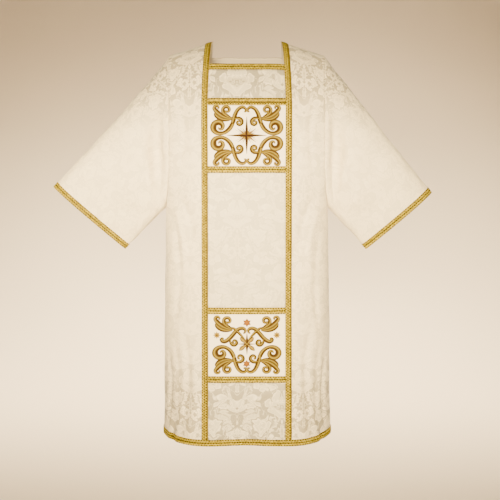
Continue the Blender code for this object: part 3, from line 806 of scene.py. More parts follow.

# Colours across a gold stroke, from one edge to the other: thread colours, with a painted highlight at 0.37.
THREAD_AND_HIGHLIGHT_BANDS = (
    (0.00, (0.240, 0.172, 0.030)),
    (0.07, (0.062, 0.036, 0.004)),
    (0.16, (0.092, 0.060, 0.005)),
    (0.26, (0.165, 0.118, 0.009)),
    # painted highlight along the crown of the stroke
    (0.37, (0.310, 0.232, 0.028)),
    (0.48, (0.150, 0.103, 0.007)),
    (0.58, (0.065, 0.034, 0.003)),
    (0.67, (0.020, 0.007, 0.001)),
    (0.86, (0.026, 0.010, 0.002)),
    (0.94, (0.155, 0.104, 0.012)),
    (1.00, (0.250, 0.175, 0.030)),
)


def embroidery_thread(name, bands, warmth):
    """Satin stitch: bands of colour across the stroke, thread colours and in the gold a painted highlight,
    and the stitches' slant along it.
    """
    paint = Paint(name, metallic=0.10, specular_ior_level=0.12)
    across, along = paint.flat("thread")
    share = across * 0.5 + 0.5
    waver = (paint.noise(paint.place(), 420.0, 1.0) - 0.5) * 0.10
    colour = paint.node("ShaderNodeValToRGB", {"stops": bands}, (share + waver,))
    stitch = ((along + across * 0.0011) * (2 * math.pi / 0.00085)).sine() * 0.5 + 0.5
    paint.set("Base Color", paint.mix(stitch * 0.18, colour, warmth))
    paint.set("Roughness", 0.48 + stitch * 0.1)
    paint.bump(stitch, 0.00028, 0.7)
    return paint.material


embroidery_gold = embroidery_thread("embroidery_gold", THREAD_AND_HIGHLIGHT_BANDS, (0.160, 0.080, 0.010))
embroidery_star = embroidery_thread(
    "embroidery_orange",
    ((0.00, (0.030, 0.010, 0.001)), (0.34, (0.120, 0.038, 0.001)), (1.00, (0.260, 0.090, 0.001))),
    (0.30, 0.10, 0.01),
)
embroidery_ray = embroidery_thread(
    "embroidery_brown_and_gold",
    (
        (0.00, (0.130, 0.074, 0.009)),
        (0.26, (0.140, 0.080, 0.010)),
        (0.36, (0.020, 0.007, 0.002)),
        (0.86, (0.018, 0.006, 0.002)),
        (1.00, (0.090, 0.038, 0.006)),
    ),
    (0.10, 0.04, 0.01),
)
embroidery_ray_gold = embroidery_thread(
    "embroidery_pale_brown",
    ((0.00, (0.260, 0.170, 0.030)), (0.50, (0.105, 0.050, 0.006)), (1.00, (0.260, 0.170, 0.030))),
    (0.30, 0.16, 0.03),
)
embroidery_petal = embroidery_thread(
    "embroidery_pale_gold",
    (
        (0.00, (0.045, 0.020, 0.003)),
        (0.18, (0.070, 0.034, 0.004)),
        (0.36, (0.280, 0.195, 0.022)),
        (0.58, (0.270, 0.180, 0.020)),
        (0.82, (0.070, 0.034, 0.004)),
        (1.00, (0.045, 0.020, 0.003)),
    ),
    (0.30, 0.16, 0.03),
)


# ---------------------------------------------------------------- meshes
def show(name, made):
    obj = bpy.data.objects.new(name, made)
    bpy.context.scene.collection.objects.link(obj)
    return obj


def belongs(obj, node=None):
    """A piece of the garment: it rides with it, and may stand for one of its solids."""
    if node:
        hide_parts(node)
    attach(obj, "root")
    return obj


def add_mesh(name, points, faces, uv_name=None, uv=None, materials=(), slots=None):
    mesh = bpy.data.meshes.new(name)
    mesh.from_pydata(np.asarray(points).tolist(), [], [list(map(int, f)) for f in faces])
    mesh.shade_smooth()
    if uv is not None:
        layer = mesh.uv_layers.new(name=uv_name)
        corner = np.empty(len(mesh.loops), dtype=np.int32)
        mesh.loops.foreach_get("vertex_index", corner)
        layer.data.foreach_set("uv", np.asarray(uv, dtype=np.float32)[corner].ravel())
    for material in materials:
        mesh.materials.append(material)
    if slots is not None:
        mesh.polygons.foreach_set("material_index", np.asarray(slots, dtype=np.int32))
    mesh.update()
    return show(name, mesh)


def turn_out(obj):
    """Faces of a closed piece, turned outwards."""
    shape = bmesh.new()
    shape.from_mesh(obj.data)
    bmesh.ops.recalc_face_normals(shape, faces=shape.faces)
    shape.to_mesh(obj.data)
    shape.free()
    return obj


def grid_faces(rows, columns, closed=False, keep=None):
    """Faces of a sheet of points. A closed one joins its last column to its first."""
    faces = []
    for row in range(rows - 1):
        for column in range(columns if closed else columns - 1):
            if keep is None or keep(row, column):
                after = (column + 1) % columns
                a, b = row * columns, (row + 1) * columns
                faces.append((a + column, b + column, b + after, a + after))
    return faces


def tube_faces(rows, count, joined=False, base=0):
    """Faces of a tube of rings of count points, with ends, or joined end to end."""
    faces = []
    for row in range(rows if joined else rows - 1):
        a, b = base + row * count, base + (row + 1) % rows * count
        faces += [(a + k, a + (k + 1) % count, b + (k + 1) % count, b + k) for k in range(count)]
    if not joined:
        faces.append(tuple(base + k for k in reversed(range(count))))
        faces.append(tuple(base + (rows - 1) * count + k for k in range(count)))
    return faces


def cloth_shell(name, points, normals, flat, materials, closed=False, keep=None, wall=WALL, lift=0.0):
    """A thin shell: the outer skin, the lining inside it, and a rim round every open edge."""
    rows, columns = points.shape[:2]
    skin = grid_faces(rows, columns, closed, keep)
    outer = points.reshape(-1, 3) + normals.reshape(-1, 3) * (lift + (wall if lift else 0))
    inner = outer - normals.reshape(-1, 3) * wall
    count = len(outer)
    edges = {(f[k], f[(k + 1) % 4]) for f in skin for k in range(4)}
    rims = [(b, a, a + count, b + count) for a, b in sorted(edges) if (b, a) not in edges]
    inside = [tuple(k + count for k in reversed(face)) for face in skin]
    uv = np.tile(flat.reshape(-1, 2), (2, 1))
    faces = skin + inside + rims
    slots = [0] * len(skin) + [len(materials) - 1] * len(inside) + [0] * len(rims)
    used = sorted({k for face in faces for k in face})
    number = dict(zip(used, range(len(used)), strict=True))
    faces = [[number[k] for k in face] for face in faces]
    return add_mesh(name, np.concatenate([outer, inner])[used], faces, "flat", uv[used], materials, slots)


def outside_neck(rows):
    return lambda row, column: (
        row >= rows["neck_top"] or not CENTRE - IN_COLUMN <= column < CENTRE + IN_COLUMN
    )


def sheet_area(points):
    """Area of a grid of points."""
    a, b = points[1:, 1:] - points[:-1, :-1], points[1:, :-1] - points[:-1, 1:]
    return float(np.linalg.norm(np.cross(a, b), axis=2).sum() / 2)


NECK_DEPTH = {"front_panel": 0.125, "back_panel": 0.085}  # along the cloth from the shoulder seam
for name, cloth, levels in (("front_panel", front, FRONT_ROWS), ("back_panel", back, BACK_ROWS)):
    piece = cloth_shell(
        f"{name}_cloth", cloth.points, cloth.normals, cloth.flat, (damask_cream, lining),
        keep=outside_neck(levels),
    )
    belongs(piece, name)
    area = sheet_area(cloth.points) - 2 * COLUMN_HALF_TOP * NECK_DEPTH[name]
    cloth.cut()
for name, (cloth, _) in sleeves.items():
    piece = cloth_shell(
        f"sleeve_{name}_cloth", cloth.points, cloth.normals, cloth.flat, (damask_sleeve, lining),
        closed=True,
    )
    belongs(piece, f"sleeve_{name}")
    area = sheet_area(np.concatenate([cloth.points, cloth.points[:, :1]], axis=1))
    cloth.cut()[::-1]

# ---------------------------------------------------------------- the centre column and the squares
SATIN_WALL = 0.0009
for name, top, bottom, material, slot in (
    ("column_chest", "neck_bottom", "bar_2_top", damask_column, "column_damask"),
    ("square_upper", "bar_2_bottom", "bar_3_top", satin, "white_satin"),
    ("column_middle", "bar_3_bottom", "bar_4_top", damask_column, "column_damask"),
    ("square_lower", "bar_4_bottom", "bar_5_top", satin, "white_satin"),
    ("column_lower", "bar_5_bottom", "hem_top", damask_column, "column_damask"),
):
    rows = range(FRONT_ROWS[top], FRONT_ROWS[bottom] + 1)
    grids = front.patch(rows, range(CENTRE - IN_COLUMN, CENTRE + IN_COLUMN + 1))
    piece = cloth_shell(f"{name}_cloth", *grids, (material,), wall=SATIN_WALL, lift=GAP)
    belongs(piece, name)
    length = round(sheet_area(grids[0]) / (2 * COLUMN_HALF), 4)


# ---------------------------------------------------------------- galloon
TAPE_WALL, TAPE_CROWN = 0.0009, 0.0005
STRAND_STEP = 0.0028  # from one strand of the braid to the next
STRANDS = 3  # strands between one hollow and the next
SLANT = math.radians(47)
STRAND = (GALLOON / 2 / math.cos(SLANT) * 1.02, 0.0027, 0.0015)  # length, width and height
HOLLOW = (0.0048, 0.0052, 0.0017)
HOLLOW_INSET, HOLLOW_LIFT, END_CLEAR = 0.0022, 0.0004, 0.002
LOOP_STEP = 0.0048  # from one loop of its edges to the next
LOOP = (0.0032, 0.0021, 0.0013)
LOOP_INSET, LOOP_SINK = 0.0004, 0.0002


def stitch_tree():
    """Geometry Nodes: a rounded stitch on every point, lying along `thread` with its crown to `out`."""
    tree = bpy.data.node_groups.new("galloon_stitches", "GeometryNodeTree")
    face = tree.interface
    face.new_socket("Geometry", in_out="INPUT", socket_type="NodeSocketGeometry")
    sizes = {"Stitch length": 0.012, "Stitch width": 0.0024, "Stitch height": 0.0012}
    for name, value in sizes.items():
        face.new_socket(name, in_out="INPUT", socket_type="NodeSocketFloat").default_value = value
    face.new_socket("Thread", in_out="INPUT", socket_type="NodeSocketMaterial")
    face.new_socket("Geometry", in_out="OUTPUT", socket_type="NodeSocketGeometry")

    def add(kind, settings=None, **links):
        node = tree.nodes.new(kind)
        for key, value in (settings or {}).items():
            setattr(node, key, value)
        for key, value in links.items():
            target = node.inputs[key.replace("_", " ")]
            if isinstance(value, bpy.types.NodeSocket):
                tree.links.new(value, target)
            else:
                target.default_value = value
        return node.outputs

    given = add("NodeGroupInput")
    size = add(
        "ShaderNodeCombineXYZ", X=given["Stitch length"], Y=given["Stitch width"], Z=given["Stitch height"]
    )
    bead = add("GeometryNodeMeshUVSphere", Segments=6, Rings=3, Radius=0.5)
    bead = add("GeometryNodeTransform", Geometry=bead["Mesh"], Scale=size[0], Rotation=(0, 0, 0))
    thread = add("GeometryNodeInputNamedAttribute", {"data_type": "FLOAT_VECTOR"}, Name="thread")
    crown = add("GeometryNodeInputNamedAttribute", {"data_type": "FLOAT_VECTOR"}, Name="out")
    turn = add(
        "FunctionNodeAxesToRotation", {"primary_axis": "X", "secondary_axis": "Z"},
        Primary_Axis=thread["Attribute"], Secondary_Axis=crown["Attribute"],
    )
    laid = add(
        "GeometryNodeInstanceOnPoints", Points=given["Geometry"], Instance=bead["Geometry"],
        Rotation=turn["Rotation"],
    )
    real = add("GeometryNodeRealizeInstances", Geometry=laid["Instances"])
    soft = add("GeometryNodeSetShadeSmooth", Geometry=real["Geometry"])
    done = add("GeometryNodeSetMaterial", Geometry=soft[0], Material=given["Thread"])
    end = tree.nodes.new("NodeGroupOutput")
    tree.links.new(done["Geometry"], end.inputs["Geometry"])
    return tree


STITCHES = stitch_tree()


def lay_stitches(name, rows, material, size):
    """A plain mesh of stitches, from rows of (places, ways they lie, ways out)."""
    centres, *ways = (np.concatenate(part) for part in zip(*rows))
    mesh = bpy.data.meshes.new(name)
    mesh.from_pydata(centres.tolist(), [], [])
    for key, values in zip(("thread", "out"), ways):
        layer = mesh.attributes.new(key, "FLOAT_VECTOR", "POINT")
        layer.data.foreach_set("vector", values.astype(np.float32).ravel())
    source = show(name, mesh)
    maker = source.modifiers.new("stitches", "NODES")
    maker.node_group = STITCHES
    given = dict(zip(("Stitch length", "Stitch width", "Stitch height", "Thread"), (*size, material)))
    for item in STITCHES.interface.items_tree:
        if item.in_out == "INPUT" and item.name in given:
            maker[item.identifier] = given[item.name]
    source.update_tag()
    view = bpy.context.evaluated_depsgraph_get()
    made = bpy.data.meshes.new_from_object(source.evaluated_get(view))
    bpy.data.objects.remove(source)
    return show(name, made)


def strip_at(points, normals, steps):
    """Rows of a strip at places along its middle, with the way along it."""
    middle = points[:, points.shape[1] // 2]
    length = np.concatenate([[0], np.cumsum(np.linalg.norm(np.diff(middle, axis=0), axis=1))])
    at = np.interp(steps, length, np.arange(len(length)))
    low = np.minimum(at.astype(int), len(length) - 2)
    share = (at - low)[:, None, None]
    rows = points[low] * (1 - share) + points[low + 1] * share
    outs = unit(normals[low] * (1 - share) + normals[low + 1] * share)
    ahead = unit(points[low + 1] - points[low])
    return rows, outs, ahead


def add_galloon(node, points, normals, closed=False):
    """A woven tape with a herringbone of strands over it. points is (along, across)."""
    if closed:
        points, normals = (np.concatenate([grid, grid[:1]]) for grid in (points, normals))
    across = points.shape[1]
    middle, last, quarter = across // 2, across - 1, (across - 1) // 4
    crown = (TAPE_WALL + TAPE_CROWN * (1 - np.linspace(-1, 1, across) ** 2))[:, None]
    top, base = points + normals * (GAP + crown), points + normals * GAP
    rows = len(points) - closed
    ring = np.concatenate([top[:rows], base[:rows, ::-1]], axis=1)
    total = float(np.linalg.norm(np.diff(points[:, middle], axis=0), axis=1).sum())
    faces = tube_faces(rows, 2 * across, joined=closed)
    tape = turn_out(add_mesh(f"{node}_tape", ring.reshape(-1, 3), faces, materials=(braid_ground,)))

    # The strands lean one way on one half of the tape and the other way on the other.
    number = int(round(total / STRAND_STEP / STRANDS)) * STRANDS
    step = total / number
    at, outs, ahead = strip_at(top, normals, (np.arange(number) + 0.5) * step)
    sideways, ahead = unit(at[:, -1] - at[:, 0]) * math.cos(SLANT), ahead[:, quarter] * math.sin(SLANT)
    strands = [
        (at[:, k * quarter], unit(sideways + lean * ahead), outs[:, k * quarter])
        for k, lean in ((1, -1), (3, 1))
    ]
    # The dark hollows, where the strands pass under one another at the middle and at the edges: near-black
    # beads, painted shade.
    hollows = []
    for column, late in ((2 * quarter, 0.5), (0, 0.0), (4 * quarter, 0.0)):
        places = (np.arange(number // STRANDS) + 0.5 + late) * STRANDS * step
        at, outs, ahead = strip_at(top, normals, np.minimum(places, total - END_CLEAR))
        inward = unit(at[:, 2 * quarter] - at[:, column]) * HOLLOW_INSET
        out = outs[:, column]
        hollows.append((at[:, column] + inward + out * HOLLOW_LIFT, ahead[:, column], out))
    # The edges: a row of little loops that stand a little past the tape.
    number = int(total / LOOP_STEP)
    at, outs, ahead = strip_at(top, normals, (np.arange(number) + 0.5) * total / number)
    sideways = unit(at[:, -1] - at[:, 0])
    loops = [
        (at[:, k] + sideways * inset - outs[:, k] * LOOP_SINK, sideways, outs[:, k])
        for k, inset in ((0, LOOP_INSET), (last, -LOOP_INSET))
    ]
    made = [
        lay_stitches(f"{node}_strands", strands, braid_gold, STRAND),
        lay_stitches(f"{node}_hollows", hollows, braid_hollow_shade, HOLLOW),
        lay_stitches(f"{node}_edge_loops", loops, braid_edge, LOOP),
    ]
    belongs(tape, node)
    for piece in made:
        belongs(piece)


def bar(cloth, rows, top, bottom):
    """A cross length of galloon as a strip: along the columns, across the rows."""
    levels = np.linspace(rows[top], rows[bottom], 5)
    low = np.minimum(levels.astype(int), rows[bottom] - 1)
    share = (levels - low)[:, None, None]
    columns = slice(CENTRE - IN_COLUMN, CENTRE + IN_COLUMN + 1)
    points = cloth.points[low, columns] * (1 - share) + cloth.points[low + 1, columns] * share
    normals = unit(cloth.normals[low, columns] * (1 - share) + cloth.normals[low + 1, columns] * share)
    return points.transpose(1, 0, 2), normals.transpose(1, 0, 2)


for name in ("neck", "bar_2", "bar_3", "bar_4", "bar_5"):
    node = "galloon_neck_front" if name == "neck" else f"galloon_{name}"
    add_galloon(node, *bar(front, FRONT_ROWS, f"{name}_top", f"{name}_bottom"))
add_galloon("galloon_neck_back", *bar(back, BACK_ROWS, "neck_top", "neck_bottom"))

for node, columns in (
    ("galloon_left", range(CENTRE + IN_COLUMN, CENTRE + OUT_COLUMN + 1)),
    ("galloon_right", range(CENTRE - OUT_COLUMN, CENTRE - IN_COLUMN + 1)),
):
    up_front = front.patch(range(FRONT_ROWS["hem_top"], -1, -1), columns)
    down_back = back.patch(range(1, BACK_ROWS["hem_top"] + 1), [COLUMNS - 1 - k for k in columns])
    add_galloon(node, *(np.concatenate([up_front[k], down_back[k]]) for k in (0, 1)))

hem_front = front.patch(range(FRONT_ROWS["hem_top"], FRONT_ROWS["hem"] + 1), range(COLUMNS))
hem_back = back.patch(range(BACK_ROWS["hem_top"], BACK_ROWS["hem"] + 1), range(1, COLUMNS - 1))
hem = (np.concatenate([hem_front[k], hem_back[k]], axis=1).transpose(1, 0, 2) for k in (0, 1))
add_galloon("galloon_hem", *hem, closed=True)

for name, (cloth, _) in sleeves.items():
    band = cloth.patch(range(SLEEVE_STEPS, SLEEVE_STEPS + BAND_STEPS + 1), range(cloth.points.shape[1]))
    add_galloon(f"galloon_cuff_{name}", *(grid.transpose(1, 0, 2) for grid in band[:2]), closed=True)

# ---------------------------------------------------------------- embroidery
UPPER_Z = (FRONT_LEVELS["bar_2_bottom"] + FRONT_LEVELS["bar_3_top"]) / 2
LOWER_Z = (FRONT_LEVELS["bar_4_bottom"] + FRONT_LEVELS["bar_5_top"]) / 2
STITCH_BASE = GAP + SATIN_WALL - 0.0001
DRAWN_HIGH = 0.97  # the squares are a little wider than they are high
STROKE_STEP, THINNEST = 1.3, 0.35  # millimetres


def on_front(x, z, out):
    """Places on the centre column: x from the centre line and z up, in metres, standing off it."""
    column = CENTRE + x / COLUMN_HALF * IN_COLUMN
    row = np.interp(-z, -FRONT_Z, np.arange(len(FRONT_Z)))
    c0, r0 = np.floor(column).astype(int), np.floor(row).astype(int)
    cf, rf = (column - c0)[..., None], (row - r0)[..., None]

    def between(grid):
        top = grid[r0, c0] * (1 - cf) + grid[r0, c0 + 1] * cf
        low = grid[r0 + 1, c0] * (1 - cf) + grid[r0 + 1, c0 + 1] * cf
        return top * (1 - rf) + low * rf

    return between(front.points) + unit(between(front.normals)) * out[..., None]


def on_square(centre_z, x, y, height):
    """Places on a satin square, from millimetres drawn from its centre."""
    return on_front(x / 1000, centre_z + y * DRAWN_HIGH / 1000, STITCH_BASE + height / 1000)


def curve_through(points):
    """A smooth curve through points whose columns are x, y and width, in millimetres."""
    points = np.array(points, dtype=float)
    padded = np.concatenate([2 * points[:1] - points[1:2], points, 2 * points[-1:] - points[-2:-1]])
    out = []
    for k in range(1, len(padded) - 2):
        p0, p1, p2, p3 = padded[k - 1 : k + 3]
        count = max(2, int(np.hypot(*(p2 - p1)[:2]) / STROKE_STEP))
        for t in np.arange(count) / count:
            out.append(
                0.5 * (2 * p1 + (p2 - p0) * t + (2 * p0 - 5 * p1 + 4 * p2 - p3) * t * t
                       + (3 * p1 - p0 - 3 * p2 + p3) * t**3)
            )
    return np.array([*out, padded[-2]])


ACROSS = 9  # points over the crown of a stroke


class Needlework:
    """Strokes of satin stitch, gathered for one square."""

    def __init__(self, centre_z, wide=1.0):
        self.centre_z, self.wide = centre_z, wide
        self.strokes = []

    def stroke(self, points, flip=False, crown=1.5):
        """points have columns x, y and width, in millimetres from the square's centre."""
        line = curve_through(points)
        middle, width = line[:, :2], np.maximum(line[:, 2] * self.wide, THINNEST)
        way = unit(np.gradient(middle, axis=0))
        aside = np.stack([way[:, 1], -way[:, 0]], axis=1)
        across = np.linspace(-1, 1, ACROSS)
        length = np.concatenate([[0], np.cumsum(np.linalg.norm(np.diff(middle, axis=0), axis=1))])
        top = middle[:, None] + aside[:, None] * (width[:, None, None] / 2 * across[None, :, None])
        height = np.minimum(crown, 0.22 * width + 0.25)[:, None] * (1 - across**2) ** 0.55
        thread = np.stack(
            [np.broadcast_to(across * (-1 if flip else 1), height.shape),
             np.broadcast_to(length[:, None] / 1000, height.shape)], axis=2,
        )
        self.strokes.append((top, height, thread))

    def everywhere(self, points, ways=((1, 1), (-1, 1), (1, -1), (-1, -1)), flip=False, crown=1.5):
        """The same stroke in each quarter or half that ways names."""
        for x_way, y_way in ways:
            line = np.array(points, dtype=float) * (x_way, y_way, 1)
            self.stroke(line, flip=flip if x_way * y_way > 0 else not flip, crown=crown)

    def mesh(self, name, material):
        points, faces, threads = [], [], []
        for top, height, thread in self.strokes:
            surface = on_square(self.centre_z, top[..., 0], top[..., 1], height)
            faces += tube_faces(len(top), ACROSS, base=sum(map(len, points)))
            points.append(surface.reshape(-1, 3))
            threads.append(thread.reshape(-1, 2))
        grid, thread = np.concatenate(points), np.concatenate(threads)
        return belongs(turn_out(add_mesh(name, grid, faces, "thread", thread, (material,))))


def star_mesh(name, centre_z, stars, material, height=1.3):
    """Raised stars: (x, y, points, outer, inner, turn)."""
    points, faces, threads = [], [], []
    for x, y, count, outer, inner, turn in stars:
        angle = np.radians(turn) + np.arange(2 * count) * math.pi / count
        far = np.where(np.arange(2 * count) % 2 == 0, outer, inner)
        base = len(points)
        for scale, up, share in ((1.0, 0.0, -1.0), (0.82, 0.75, -0.2), (0.0, 1.0, 1.0)):
            reach = far[: 1 if scale == 0 else None] * scale
            for k, (radius, turned) in enumerate(zip(reach, angle)):
                points.append((x + radius * np.cos(turned), y + radius * np.sin(turned), up * height))
                threads.append((share, k * 0.0007))
        n = 2 * count
        for k in range(n):
            j = (k + 1) % n
            faces.append((base + k, base + j, base + n + j, base + n + k))
            faces.append((base + n + k, base + n + j, base + 2 * n))
        faces.append(tuple(base + k for k in reversed(range(n))))
    placed = on_square(centre_z, *np.array(points).T)
    belongs(turn_out(add_mesh(name, placed, faces, "thread", np.array(threads), (material,))))


def ray(x, y, angle, near, far, width):
    """A thin pointed ray, widest near its root."""
    way = np.array([math.cos(math.radians(angle)), math.sin(math.radians(angle))])
    places = ((near, width), (near + 0.35 * (far - near), width * 0.70), (far, 0.06 * width + 0.4))
    return [(x + way[0] * at, y + way[1] * at, wide) for at, wide in places]


# Every stroke below is drawn on the right-hand side: x, y and width.
ARCH = (
    (8.4, 76.0, 3.6), (4.6, 75.4, 5.6), (2.6, 80.2, 7.2), (6.2, 86.4, 8.6), (13.0, 89.0, 9.7),
    (21.0, 86.6, 10.5), (28.4, 79.8, 11.1), (34.2, 69.4, 12.0), (38.4, 57.0, 12.8), (41.6, 44.0, 12.5),
    (46.0, 33.0, 9.7), (51.0, 25.0, 4.1),
)
SPIRAL = (
    (37.0, 61.0, 3.2), (40.0, 49.0, 8.6), (44.5, 36.5, 12.0), (51.5, 23.5, 12.6), (61.5, 13.4, 11.6),
    (73.0, 7.6, 11.1), (84.4, 6.8, 12.0), (94.6, 10.0, 14.3), (101.2, 17.0, 16.6), (103.0, 26.2, 18.3),
    (100.2, 34.8, 17.9), (93.8, 40.2, 17.0), (85.6, 41.2, 16.2), (78.0, 37.4, 14.9), (74.4, 30.4, 13.2),
    (75.6, 23.0, 11.1), (80.8, 19.4, 8.2), (85.8, 21.8, 5.2), (86.6, 26.0, 2.7),
)
INNER_CURL = (
    (37.7, 53.1, 4.7), (30.0, 54.8, 8.8), (21.3, 53.1, 10.3), (15.2, 46.2, 10.9), (16.1, 37.5, 10.0),
    (22.3, 33.4, 8.8), (28.4, 36.7, 8.1), (28.9, 42.9, 6.9), (24.4, 45.0, 5.3), (21.8, 41.8, 3.4),
)
LEAF_LONG = (
    (44.6, 54.8, 4.7), (58.5, 55.7, 8.8), (72.3, 60.9, 11.4), (84.4, 68.7, 12.8), (93.9, 77.3, 13.1),
    (99.6, 85.4, 11.6), (96.8, 91.6, 9.7), (90.4, 92.2, 7.7), (86.6, 88.0, 6.2), (88.6, 83.6, 3.6),
)
LEAF_UNDER = (
    (46.4, 50.2, 3.4), (60.2, 48.2, 7.5), (75.8, 50.0, 10.5), (88.7, 56.2, 11.1), (96.8, 64.4, 8.6),
    (100.2, 72.0, 2.2),
)
LEAF_CURL = (
    (46.4, 54.8, 4.5), (56.7, 60.0, 8.8), (67.1, 67.5, 10.9), (73.0, 75.6, 10.9), (72.6, 84.3, 10.3),
    (67.0, 89.6, 10.0), (59.3, 89.6, 9.7), (54.0, 83.6, 9.2), (55.4, 76.6, 8.1), (61.2, 74.6, 6.4),
    (64.0, 79.0, 3.4),
)
LEAF_INSIDE = ((56.0, 58.4, 2.2), (63.0, 65.5, 5.2), (67.0, 73.0, 5.2), (66.4, 80.0, 1.8))
LEAVES = ((LEAF_UNDER, False), (LEAF_LONG, True), (LEAF_CURL, True), (LEAF_INSIDE, False))
HALVES = ((1, 1), (-1, 1))


def moved(stroke, dx, dy, turned=False):
    return [(x + dx, (-y if turned else y) + dy, width) for x, y, width in stroke]


# The upper square: a compass star in four scrolls, each with a curl and a pair of leaves.
upper = Needlework(UPPER_Z, 1.16)
for stroke, flip in (*LEAVES, (ARCH, False), (INNER_CURL, False), (SPIRAL, True)):
    upper.everywhere(stroke, flip=flip)
upper.mesh("upper_square_scrolls", embroidery_gold)

star = Needlework(UPPER_Z)
for angle in range(0, 360, 90):
    star.stroke(ray(0, 0, angle, 0.0, 61.0 if angle % 180 == 0 else 59.0, 12.0), flip=angle in (90, 180))
star.mesh("upper_square_star_arms", embroidery_ray)
glow = Needlework(UPPER_Z)
for angle, far, width in ((37, 36, 8.0), (17, 28, 5.6), (62, 27, 5.6), (27, 40, 2.2), (50, 33, 2.2)):
    glow.everywhere(ray(0, 0, angle, 2.0, far, width), crown=0.9)
glow.mesh("upper_square_star_rays", embroidery_ray_gold)

# The lower square: a flower in arched scrolls, with stars, big scrolls below it and leaves at its corners.
LOWER_SCROLL = (
    (10.0, -75.6, 3.6), (6.4, -72.8, 5.6), (2.6, -76.0, 7.2), (3.0, -82.4, 8.6), (8.8, -86.0, 9.7),
    (17.3, -84.6, 10.5), (25.9, -77.0, 11.4), (31.9, -64.9, 12.5), (36.3, -51.1, 13.1), (40.0, -38.5, 11.1),
    (44.5, -28.0, 4.7),
)
LOWER_SPIRAL = (
    (34.6, -56.0, 3.2), (37.6, -46.0, 8.6), (41.4, -34.0, 12.2), (47.5, -22.0, 12.6), (56.0, -12.8, 11.6),
    (67.4, -6.6, 11.1), (79.4, -5.6, 12.0), (90.2, -9.4, 14.1), (97.2, -17.0, 16.4), (98.6, -26.2, 17.9),
    (94.6, -34.0, 17.4), (87.0, -38.2, 16.8), (78.0, -37.2, 16.0), (71.8, -31.8, 14.5), (70.8, -24.6, 12.6),
    (74.8, -19.0, 10.1), (80.8, -20.2, 6.3), (83.0, -25.2, 2.7),
)
LOWER_CURL = (
    (34.5, -51.1, 4.7), (26.1, -54.0, 8.8), (17.5, -52.0, 10.0), (11.4, -45.1, 10.0), (13.0, -36.6, 9.4),
    (19.9, -32.3, 8.6), (26.1, -36.1, 7.5), (25.7, -42.5, 5.8), (20.9, -43.3, 3.4),
)
FLOWER_ARCH = (
    (11.4, 38.6, 3.6), (6.8, 41.0, 5.6), (4.4, 46.4, 7.5), (7.0, 52.2, 9.2), (13.8, 55.0, 10.3),
    (22.5, 53.7, 11.1), (31.1, 48.2, 12.0), (38.9, 39.5, 12.5), (45.8, 30.9, 12.5), (52.7, 23.1, 12.5),
    (61.3, 15.9, 12.5), (69.9, 11.9, 12.0), (77.0, 13.4, 10.5), (79.8, 18.9, 8.8), (75.8, 22.4, 6.7),
    (71.6, 19.2, 3.9),
)
FLOWER_CURL = (
    (52.4, 21.0, 3.4), (50.8, 10.2, 7.7), (45.0, 2.6, 10.0), (37.1, 1.4, 10.3), (31.6, 7.4, 9.4),
    (33.7, 14.5, 8.1), (39.9, 16.2, 6.9), (43.2, 11.7, 5.3), (39.5, 8.3, 3.4),
)
FLOWER_STEM = (
    (3.1, 15.4, 2.9), (12.1, 25.7, 6.0), (21.6, 37.0, 7.8), (30.2, 45.9, 8.3), (39.7, 53.9, 7.4),
    (48.0, 58.0, 3.4),
)

lower = Needlework(LOWER_Z, 1.16)
lower.everywhere(FLOWER_STEM, HALVES)
for stroke, flip in LEAVES:
    lower.everywhere(moved(stroke, -2.0, -1.4), HALVES, flip=flip)
    lower.everywhere(moved(stroke, -2.0, 3.6, turned=True), HALVES, flip=not flip)
for stroke, flip in (
    (LOWER_SCROLL, True), (LOWER_CURL, True), (LOWER_SPIRAL, False), (FLOWER_CURL, True),
    (FLOWER_ARCH, False),
):
    lower.everywhere(stroke, HALVES, flip=flip)
lower.mesh("lower_square_scrolls", embroidery_gold)
FLOWER = (0.5, 4.6)
petals = Needlework(LOWER_Z)
for angle, far in ((45, 31.0), (135, 31.0), (221, 33.0), (319, 33.0)):
    way = np.array([math.cos(math.radians(angle)), math.sin(math.radians(angle))])
    shape = ((0.06, 2.6), (0.28, 8.6), (0.58, 13.6), (0.82, 9.6), (1.0, 1.0))
    petals.stroke([(*(FLOWER + way * far * at), wide) for at, wide in shape])
petals.mesh("lower_square_petals", embroidery_petal)
points = Needlework(LOWER_Z)
for angle, far, width in ((90, 36, 10.8), (270, 34, 10.4), (0, 30, 6.4), (180, 30, 6.4)):
    points.stroke(ray(*FLOWER, angle, 2.5, far, width), flip=angle >= 180)
points.mesh("lower_square_flower_points", embroidery_ray)
star_mesh(
    "lower_square_stars", LOWER_Z, [(0.5, 73.0, 6, 14.0, 8.6, 90), (-0.5, -59.5, 6, 13.0, 8.0, 90)],
    embroidery_star,
)
small_stars = [(side * 93.5, 32.5, 8, 12.6, 7.2, 90) for side in (-1, 1)] + [(*FLOWER, 8, 4.0, 3.6, 0)]
star_mesh("lower_square_small_stars", LOWER_Z, small_stars, embroidery_petal, 1.6)
star_mesh("upper_square_star_heart", UPPER_Z, [(0, 0, 8, 5.2, 3.6, 22.5)], embroidery_ray, 1.9)

# ---------------------------------------------------------------- floor, light and camera
FLOOR_Z = HEM_Z - 0.487
LIGHT_COLOUR = (1.0, 0.80, 0.48)
SWEEP_FROM_Y, SWEEP_RADIUS = 2.62, 1.95  # the wall stands behind any camera that looks at the back


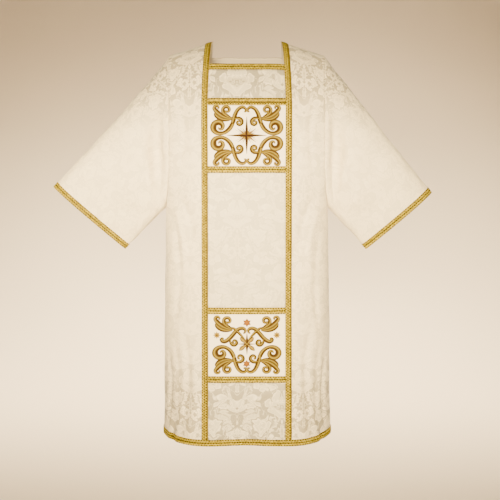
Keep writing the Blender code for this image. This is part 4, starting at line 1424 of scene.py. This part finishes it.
def stage_sweep():
    """A floor that sweeps up into a wall well behind."""
    profile = [(-7.0, FLOOR_Z), (SWEEP_FROM_Y, FLOOR_Z)]
    profile += [
        (SWEEP_FROM_Y + SWEEP_RADIUS * math.sin(a), FLOOR_Z + SWEEP_RADIUS * (1 - math.cos(a)))
        for a in np.linspace(0, math.pi / 2, 24)[1:]
    ]
    profile.append((SWEEP_FROM_Y + SWEEP_RADIUS, 7.0))
    points = [(x, y, z) for x in (-8.5, 8.5) for y, z in profile]
    n = len(profile)
    faces = [(k, n + k, n + k + 1, k + 1) for k in range(n - 1)]
    mesh = bpy.data.meshes.new("studio_floor")
    mesh.from_pydata(points, [], faces)
    mesh.shade_smooth()
    paint = Paint("studio_paper", roughness=0.9, specular_ior_level=0.2)
    paint.set("Base Color", (0.86, 0.765, 0.67))
    mesh.materials.append(paint.material)
    show("studio_floor", mesh)


def softbox(name, place, target, size, power, spread=180):
    """A soft light at place that faces target. A small spread is a grid over it."""
    light = bpy.data.lights.new(name, "AREA")
    light.shape, light.size, light.size_y = "RECTANGLE", *size
    light.energy, light.color, light.spread = power, LIGHT_COLOUR, math.radians(spread)
    obj = show(name, light)
    obj.visible_camera = False
    obj.location = place
    way = np.array(target) - place
    tilt = math.atan2(math.hypot(way[0], way[1]), -way[2])
    obj.rotation_euler = (tilt, 0.0, math.atan2(way[1], way[0]) - math.pi / 2)


stage_sweep()
softbox("key_light", (-0.55, -2.85, -0.06), (-0.30, 0, -0.45), (1.9, 0.25), 28, 33)
softbox("fill_light", (0.45, -2.85, -0.86), (0.25, 0, -0.50), (1.9, 0.20), 9, 36)
softbox("low_light", (0.0, -1.80, -1.30), (0.0, 0, -1.24), (0.9, 0.25), 9.5, 46)
softbox("top_light", (0, -0.9, 2.2), (0, 0, -0.4), (2.6, 1.2), 6)
softbox("wall_light", (0, 2.0, 2.2), (0, 2.87, -1.57), (5.5, 0.98), 255, 80)
softbox("back_light", (0.5, 3.4, 0.0), (0, 0, -0.6), (2.2, 1.0), 26, 60)

world = bpy.data.worlds.new("soft_room")
world.use_nodes = True
room = world.node_tree.nodes["Background"].inputs
room["Color"].default_value = (1.0, 0.82, 0.56, 1.0)
room["Strength"].default_value = 0.26
bpy.context.scene.world = world

CAMERA = {"place": (0.010, -3.300, -0.400), "tilt": 4.5, "lens": 73.87}
lens = bpy.data.cameras.new("camera")
lens.sensor_width = 36.0
lens.lens = CAMERA["lens"]
lens.dof.use_dof = False
camera = show("camera", lens)
camera.location = CAMERA["place"]
camera.rotation_euler = (math.radians(90 - CAMERA["tilt"]), 0.0, 0.0)
bpy.context.scene.camera = camera
